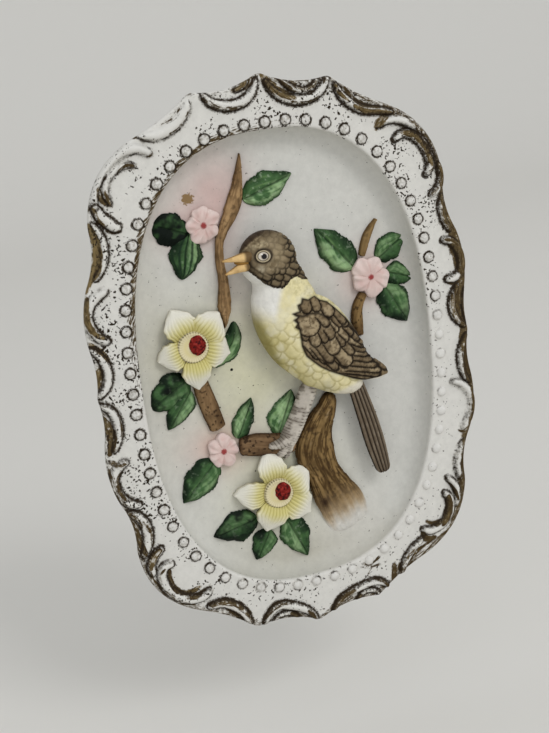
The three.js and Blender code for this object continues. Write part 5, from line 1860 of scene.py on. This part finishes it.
    def paint_wing(self, coats: Paint, seen: Array, winged: Array, quills: Plumage) -> None:
        """Paint the wing's brown feathers with their dark edges."""
        x, z = seen[:, 0], seen[:, 1]
        on_wing = ramp(winged, -0.15, 0.15)
        rough = fractal(seen, 2.2, 91)
        fine = fractal(seen, 0.7, 93)
        coats.coat("7a694f", on_wing)
        coats.coat("ae9c7c", on_wing * 0.8 * ramp(quills.tone, 0.1, 1.0) * ramp(rough, 0.38, 0.62))
        coats.coat("4a3b26", on_wing * 0.65 * ramp(fine, 0.50, 0.68))
        coats.coat("998b74", on_wing * 0.25 * ramp(quills.barbs, 0.2, 1.0) * ramp(18 - z, 0, 10))
        coats.coat("35281a", on_wing * 0.6 * quills.shade * ramp(fine, 0.3, 0.55))
        coats.coat("140c05", on_wing * quills.line)
        coats.coat("1a1209", 0.95 * bump(winged - 0.15, 0.45) * ramp(30 - x, 0, 8))
        coats.coat("1a1209", 0.9 * on_wing * bump(z - np.interp(x, *np.array(SHOULDER_LINE).T), 0.5)
                   * ramp(16 - x, 0, 1))


SHOULDER_LINE = ((2.2, 16.4), (5.5, 15.0), (8, 15.5), (11, 15.1), (13.5, 13.4), (15.5, 12.4), (17, 11.5))


@dataclass
class BirdTail:
    """The long straight tail feathers."""

    stations: Stations = (
        (22.0, -9.6, 2.7, 5.0, 1.7), (25.5, -24, 3.4, 5.3, 1.9), (27.8, -35, 3.5, 5.5, 1.9),
        (29.9, -45.6, 2.5, 5.7, 1.6))
    feathers: int = 5

    def build(self, material: Material) -> Mesh:
        """Model the tail.

        Args:
            material: The bird's glaze.

        Returns:
            The finished piece.
        """
        loft = Loft("bird_tail", self.stations, around=110, rows=110, end_round=0.10)
        piece = loft.build()
        front = ramp(facing_front(piece), 0.1, 0.6)
        lane = (loft.across * 0.5 + 0.5) * self.feathers
        gap = np.abs(lane - np.round(lane))
        groove = bump(gap, 0.16)
        emboss(piece, front * (0.35 * np.sqrt(np.clip(gap * 2, 0, 1)) - 0.55 * groove))
        places = on_plate(piece)
        rough = fractal(places, 1.8, 101)
        coats = Paint(len(places), "6c5f4f")
        coats.coat("857968", 0.6 * ramp(rough, 0.45, 0.7) * ramp(gap, 0.2, 0.4))
        coats.coat("1f160f", 0.95 * groove)
        coats.coat("2a1f16", 0.8 * ramp(np.abs(loft.across), 0.86, 0.98))
        coats.coat("241a12", 0.6 * ramp(loft.t, 0.9, 1.0))
        coats.store(piece)
        finish_piece(piece, Slot.BIRD, material)
        return piece


@dataclass
class BirdBeak:
    """The open beak: an upper and a lower half, and the mouth between them."""

    upper: Stations = (
        (-10.0, 37.9, 2.2, 10.2, 2.4), (-13.6, 38.1, 1.5, 10.6, 2.0), (-16.8, 38.0, 0.85, 10.4, 1.3),
        (-20.0, 37.8, 0.3, 9.8, 0.5))
    mouth: Stations = (
        (-9.6, 36.8, 3.0, 9.6, 2.2), (-12.4, 36.8, 2.2, 9.9, 1.9), (-14.6, 36.7, 1.1, 10.0, 1.5),
        (-15.9, 36.7, 0.3, 9.8, 0.6))
    lower: Stations = (
        (-10.0, 35.2, 2.0, 9.8, 2.2), (-13.4, 35.0, 1.6, 10.0, 1.8), (-16.6, 34.1, 0.9, 9.8, 1.2),
        (-19.2, 33.3, 0.3, 9.4, 0.45))

    def build(self, material: Material) -> Mesh:
        """Model both halves.

        Args:
            material: The bird's glaze.

        Returns:
            The finished piece.
        """
        halves = []
        for number, stations in enumerate((self.upper, self.lower)):
            loft = Loft(f"bird_beak_{number}", stations, around=40, rows=44, end_round=0.05)
            piece = loft.build()
            coats = Paint(len(loft.t), "e0bd84")
            coats.coat("a5793c", 0.6 * ramp(loft.t, 0.75, 1.0))
            coats.coat("6e4d24", 0.7 * ramp(np.abs(loft.across), 0.8, 1.0))
            coats.coat("8a6334", 0.4 * ramp(fractal(on_plate(piece), 1.6, 107), 0.5, 0.7))
            coats.coat("3a2512", 0.85 * ramp(0.33 - loft.t, 0, 0.12))
            coats.store(piece)
            halves.append(piece)
        mouth = Loft("bird_mouth", self.mouth, around=32, rows=24, end_round=0.05).build()
        inside = Paint(len(mouth.data.vertices), "8f6a34")
        inside.store(mouth)
        whole = join_pieces(halves + [mouth], "bird_beak")
        finish_piece(whole, Slot.BIRD, material)
        return whole


@dataclass
class BirdEye:
    """The eye: a cream ring, a pale ball and a glossy dark pupil with a painted highlight."""

    centre: tuple[float, float, float] = (-7.4, 38.1, 23.0)
    facing: tuple[float, float, float] = (-0.42, 0.22, 0.88)
    size: tuple[float, float, float] = (2.5, 2.05, 0.9)
    pupil: Place = (0.14, -0.04)
    pupil_share: float = 0.42

    def build(self, material: Material) -> Mesh:
        """Model the eye.

        Args:
            material: A glossier glaze.

        Returns:
            The finished piece.
        """
        piece, _, _ = new_skin("bird_eye", 72, 48)
        ball = corners(piece)
        reach = np.hypot(ball[:, 0], ball[:, 1])
        in_front = ball[:, 2] > 0
        ring = 0.22 * bump(reach - 0.86, 0.10) * in_front - 0.18 * bump(reach - 0.68, 0.07) * in_front
        out = np.array(self.facing) / np.linalg.norm(self.facing)
        right = np.cross(out, (0, 1, 0))
        right = -right / np.linalg.norm(right)
        right = right if right[0] > 0 else -right
        up = np.cross(out, right)
        up = up if up[1] > 0 else -up
        spot = (np.array(self.centre) + ball[:, :1] * self.size[0] * right
                + ball[:, 1:2] * self.size[1] * up + (ball[:, 2:] * self.size[2] + ring[:, None]) * out)
        shape_skin(piece, spot[:, 0], spot[:, 1], spot[:, 2])
        coats = Paint(len(ball), "b5a78a")
        coats.coat("dbd2c2", ramp(0.66 - reach, 0.0, 0.05))
        coats.coat("1c130b", 0.95 * bump(reach - 0.69, 0.055))
        coats.coat("1c130b", 0.95 * ramp(reach, 0.90, 0.98))
        gap = np.hypot((ball[:, 0] - self.pupil[0]) * self.size[0] / self.size[1], ball[:, 1] - self.pupil[1])
        coats.coat("5c4a30", 0.7 * bump(gap - self.pupil_share, 0.09))
        coats.coat("060403", ramp(self.pupil_share - gap, -0.03, 0.05))
        # Painted highlight: a small white glint on the pupil.
        light = np.hypot(ball[:, 0] + 0.12, ball[:, 1] - 0.30)
        coats.coat("f4f1ea", ramp(0.13 - light, 0.0, 0.05))
        coats.store(piece)
        finish_piece(piece, Slot.BIRD, material)
        return piece


@dataclass
class BirdLeg:
    """The scaly leg, with its foot on the stub of branch."""

    shank: Stations = (
        (7.2, -8.6, 3.2, 4.2, 2.6), (2.6, -18.5, 3.1, 3.4, 2.4), (-1.8, -26.0, 3.2, 3.0, 2.6),
        (-5.2, -31.0, 2.8, 2.8, 2.6))
    toes: tuple[Stations, ...] = (
        ((-2.6, -26.6, 2.0, 3.6, 2.2), (-6.4, -28.0, 1.7, 4.6, 1.8), (-10.2, -28.4, 0.9, 3.6, 1.4)),
        ((-3.4, -29.2, 1.7, 3.2, 2.0), (-5.6, -31.8, 1.4, 3.2, 1.6), (-7.4, -33.2, 0.6, 2.2, 0.9)),
        ((-2.4, -29.6, 1.6, 3.0, 2.0), (-3.6, -32.6, 1.2, 2.6, 1.5), (-4.6, -34.4, 0.5, 2.0, 0.8)),
    )
    scute: float = 1.05

    def build(self, material: Material) -> Mesh:
        """Model the leg and toes.

        Args:
            material: The bird's glaze.

        Returns:
            The finished piece.
        """
        parts = [self.limb("bird_shank", self.shank, 70, 100)]
        for number, toe in enumerate(self.toes):
            parts.append(self.limb(f"bird_toe_{number}", toe, 40, 40))
        piece = join_pieces(parts, "bird_leg")
        finish_piece(piece, Slot.BIRD, material)
        return piece

    def limb(self, name: str, stations: Sequence[Sequence[float]], around: int,
             rows: int) -> Mesh:
        """One rounded limb with scutes across it, lighter along one side and darker along the other as
        painted light and shade.
        """
        loft = Loft(name, stations, around=around, rows=rows, end_round=0.15)
        piece = loft.build()
        places = on_plate(piece)
        length = math.dist(stations[0][:2], stations[-1][:2])
        phase = (loft.t * length / self.scute + 0.35 * loft.across) % 1.0
        cut = bump(np.minimum(phase, 1 - phase), 0.12)
        front = ramp(facing_front(piece), -0.1, 0.4)
        emboss(piece, -0.16 * cut * front)
        rough = fractal(places, 1.6, 111)
        coats = Paint(len(places), "b9b1a6")
        coats.coat("8e867c", 0.8 * ramp(rough, 0.4, 0.7))
        # Painted light along one side of the limb, and painted shade along the other.
        coats.coat("d6d0c4", 0.5 * ramp(loft.across, -0.1, 0.7))
        coats.coat("6f675c", 0.6 * ramp(-loft.across, 0.1, 0.8) * ramp(rough, 0.35, 0.6))
        coats.coat("4a3f35", cut * ramp(rough + 0.2 * np.abs(loft.across), 0.46, 0.72))
        coats.store(piece)
        return piece


# --- The setting ---


@dataclass(frozen=True)
class Studio:
    """Pale floor, soft light and the camera."""

    camera_from_middle: tuple[float, float, float] = (VIEWER[0], -VIEWER[2], VIEWER[1])
    camera_right: tuple[float, float, float] = (0.94257702, -0.31450783, -0.11239837)
    camera_up: tuple[float, float, float] = (0.18625847, 0.21565268, 0.95854145)
    lens: float = 58.94
    sensor: float = 36.0
    floor_drop: float = 40.0
    paper_width: float = 9.0
    paper_length: float = 7.5
    paper_ahead: float = 2.4
    flat_length: float = 3.6
    curve_length: float = 1.2
    curve_radius: float = 0.76
    lamps: tuple[tuple[str, tuple[float, float, float], float, float], ...] = (
        ("key", (0.72, -1.70, 1.45), 0.85, 15.5), ("fill", (-0.9, -1.0, 0.3), 1.2, 0.6))

    def build(self) -> None:
        """Make the floor, the lights and the camera."""
        self.make_floor()
        self.make_lights()
        self.make_camera()

    def make_floor(self) -> None:
        """A pale floor that curves up far behind."""
        low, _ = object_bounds()
        level = low.z - self.floor_drop * MM
        deselect()
        bpy.ops.mesh.primitive_grid_add(x_subdivisions=8, y_subdivisions=60, size=1)
        piece = bpy.context.active_object
        piece.name = "studio_paper"
        flat = corners(piece)
        reach = (flat[:, 1] + 0.5) * self.paper_length
        beyond = reach - self.flat_length
        bend = np.clip(beyond / self.curve_length, 0, 1) * math.pi / 2
        y = np.minimum(reach, self.flat_length) - self.paper_ahead + self.curve_radius * np.sin(bend)
        z = level + self.curve_radius * (1 - np.cos(bend)) + np.maximum(beyond - self.curve_length, 0)
        move_corners(piece, np.stack([flat[:, 0] * self.paper_width, y, z], axis=1))
        activate(piece)
        bpy.ops.object.shade_smooth()
        material = bpy.data.materials.new("studio_paper")
        material.use_nodes = True
        shader = material.node_tree.nodes["Principled BSDF"]
        shader.inputs["Base Color"].default_value = (*linear("dbd9d4"), 1)
        shader.inputs["Roughness"].default_value = 0.95
        shader.inputs["Specular IOR Level"].default_value = 0.1
        piece.data.materials.append(material)
        piece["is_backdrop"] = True

    def make_lights(self) -> None:
        """A soft key from the upper right, and pale light all round."""
        world = bpy.data.worlds.new("studio_air")
        bpy.context.scene.world = world
        world.use_nodes = True
        air = world.node_tree.nodes["Background"]
        air.inputs["Color"].default_value = (*linear("eef0f2"), 1)
        air.inputs["Strength"].default_value = 0.86
        aim = Vector(PLATE.points(0, 0, PLATE.floor_rise))
        for name, offset, size, power in self.lamps:
            deselect()
            bpy.ops.object.light_add(type="AREA", location=aim + Vector(offset))
            lamp = bpy.context.active_object
            lamp.name = name
            lamp.data.size = size
            lamp.data.energy = power
            lamp.rotation_euler = (-Vector(offset)).to_track_quat("-Z", "Y").to_euler()

    def make_camera(self) -> None:
        """The camera, above and to the left of the plaque, a little rolled."""
        middle = Vector(PLATE.points(0, 0, PLATE.border_rise))
        right, up = Vector(self.camera_right), Vector(self.camera_up)
        turn = Matrix((right, up, right.cross(up))).transposed()
        deselect()
        bpy.ops.object.camera_add(location=middle + Vector(self.camera_from_middle) * MM,
                                  rotation=turn.to_euler())
        camera = bpy.context.active_object
        camera.data.lens = self.lens
        camera.data.sensor_width = self.sensor
        camera.data.clip_start = 0.01
        bpy.context.scene.camera = camera
        bpy.context.scene.view_settings.view_transform = "Standard"


def main() -> None:
    """Build the plaque and its setting."""
    logging.basicConfig(level=logging.INFO, format="%(name)s %(message)s")
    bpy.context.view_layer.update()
    bisque = GildedBisque("white_bisque", 0.72).build()
    bark = Finish("painted_bark", 0.75, grain_depth=0.12, mottle=0.16).build()
    leaf_glaze = Finish("leaf_glaze", 0.62, mottle=0.12).build()
    petal_glaze = Finish("yellow_petal", 0.62, mottle=0.03).build()
    pink_glaze = Finish("pink_petal", 0.66, mottle=0.03).build()
    plumage = Finish("bird_glaze", 0.62, grain_depth=0.08, mottle=0.10).build()
    eye_glaze = Finish("bird_eye_glaze", 0.22, grain_depth=0.0, mottle=0.02, sheen_of_glaze=0.3).build()
    PlateShell().build(bisque)
    BeadRing().build(bisque)
    for branch in BRANCHES:
        branch.build(bark)
    for leaf in LEAVES:
        leaf.build(leaf_glaze)
    for flower in YELLOW_FLOWERS:
        flower.build(petal_glaze)
    for flower in PINK_FLOWERS:
        flower.build(pink_glaze)
    for part in (BirdBody(), BirdTail(), BirdBeak(), BirdLeg()):
        part.build(plumage)
    BirdEye().build(eye_glaze)
    Studio().build()


if __name__ == "__main__":
    main()
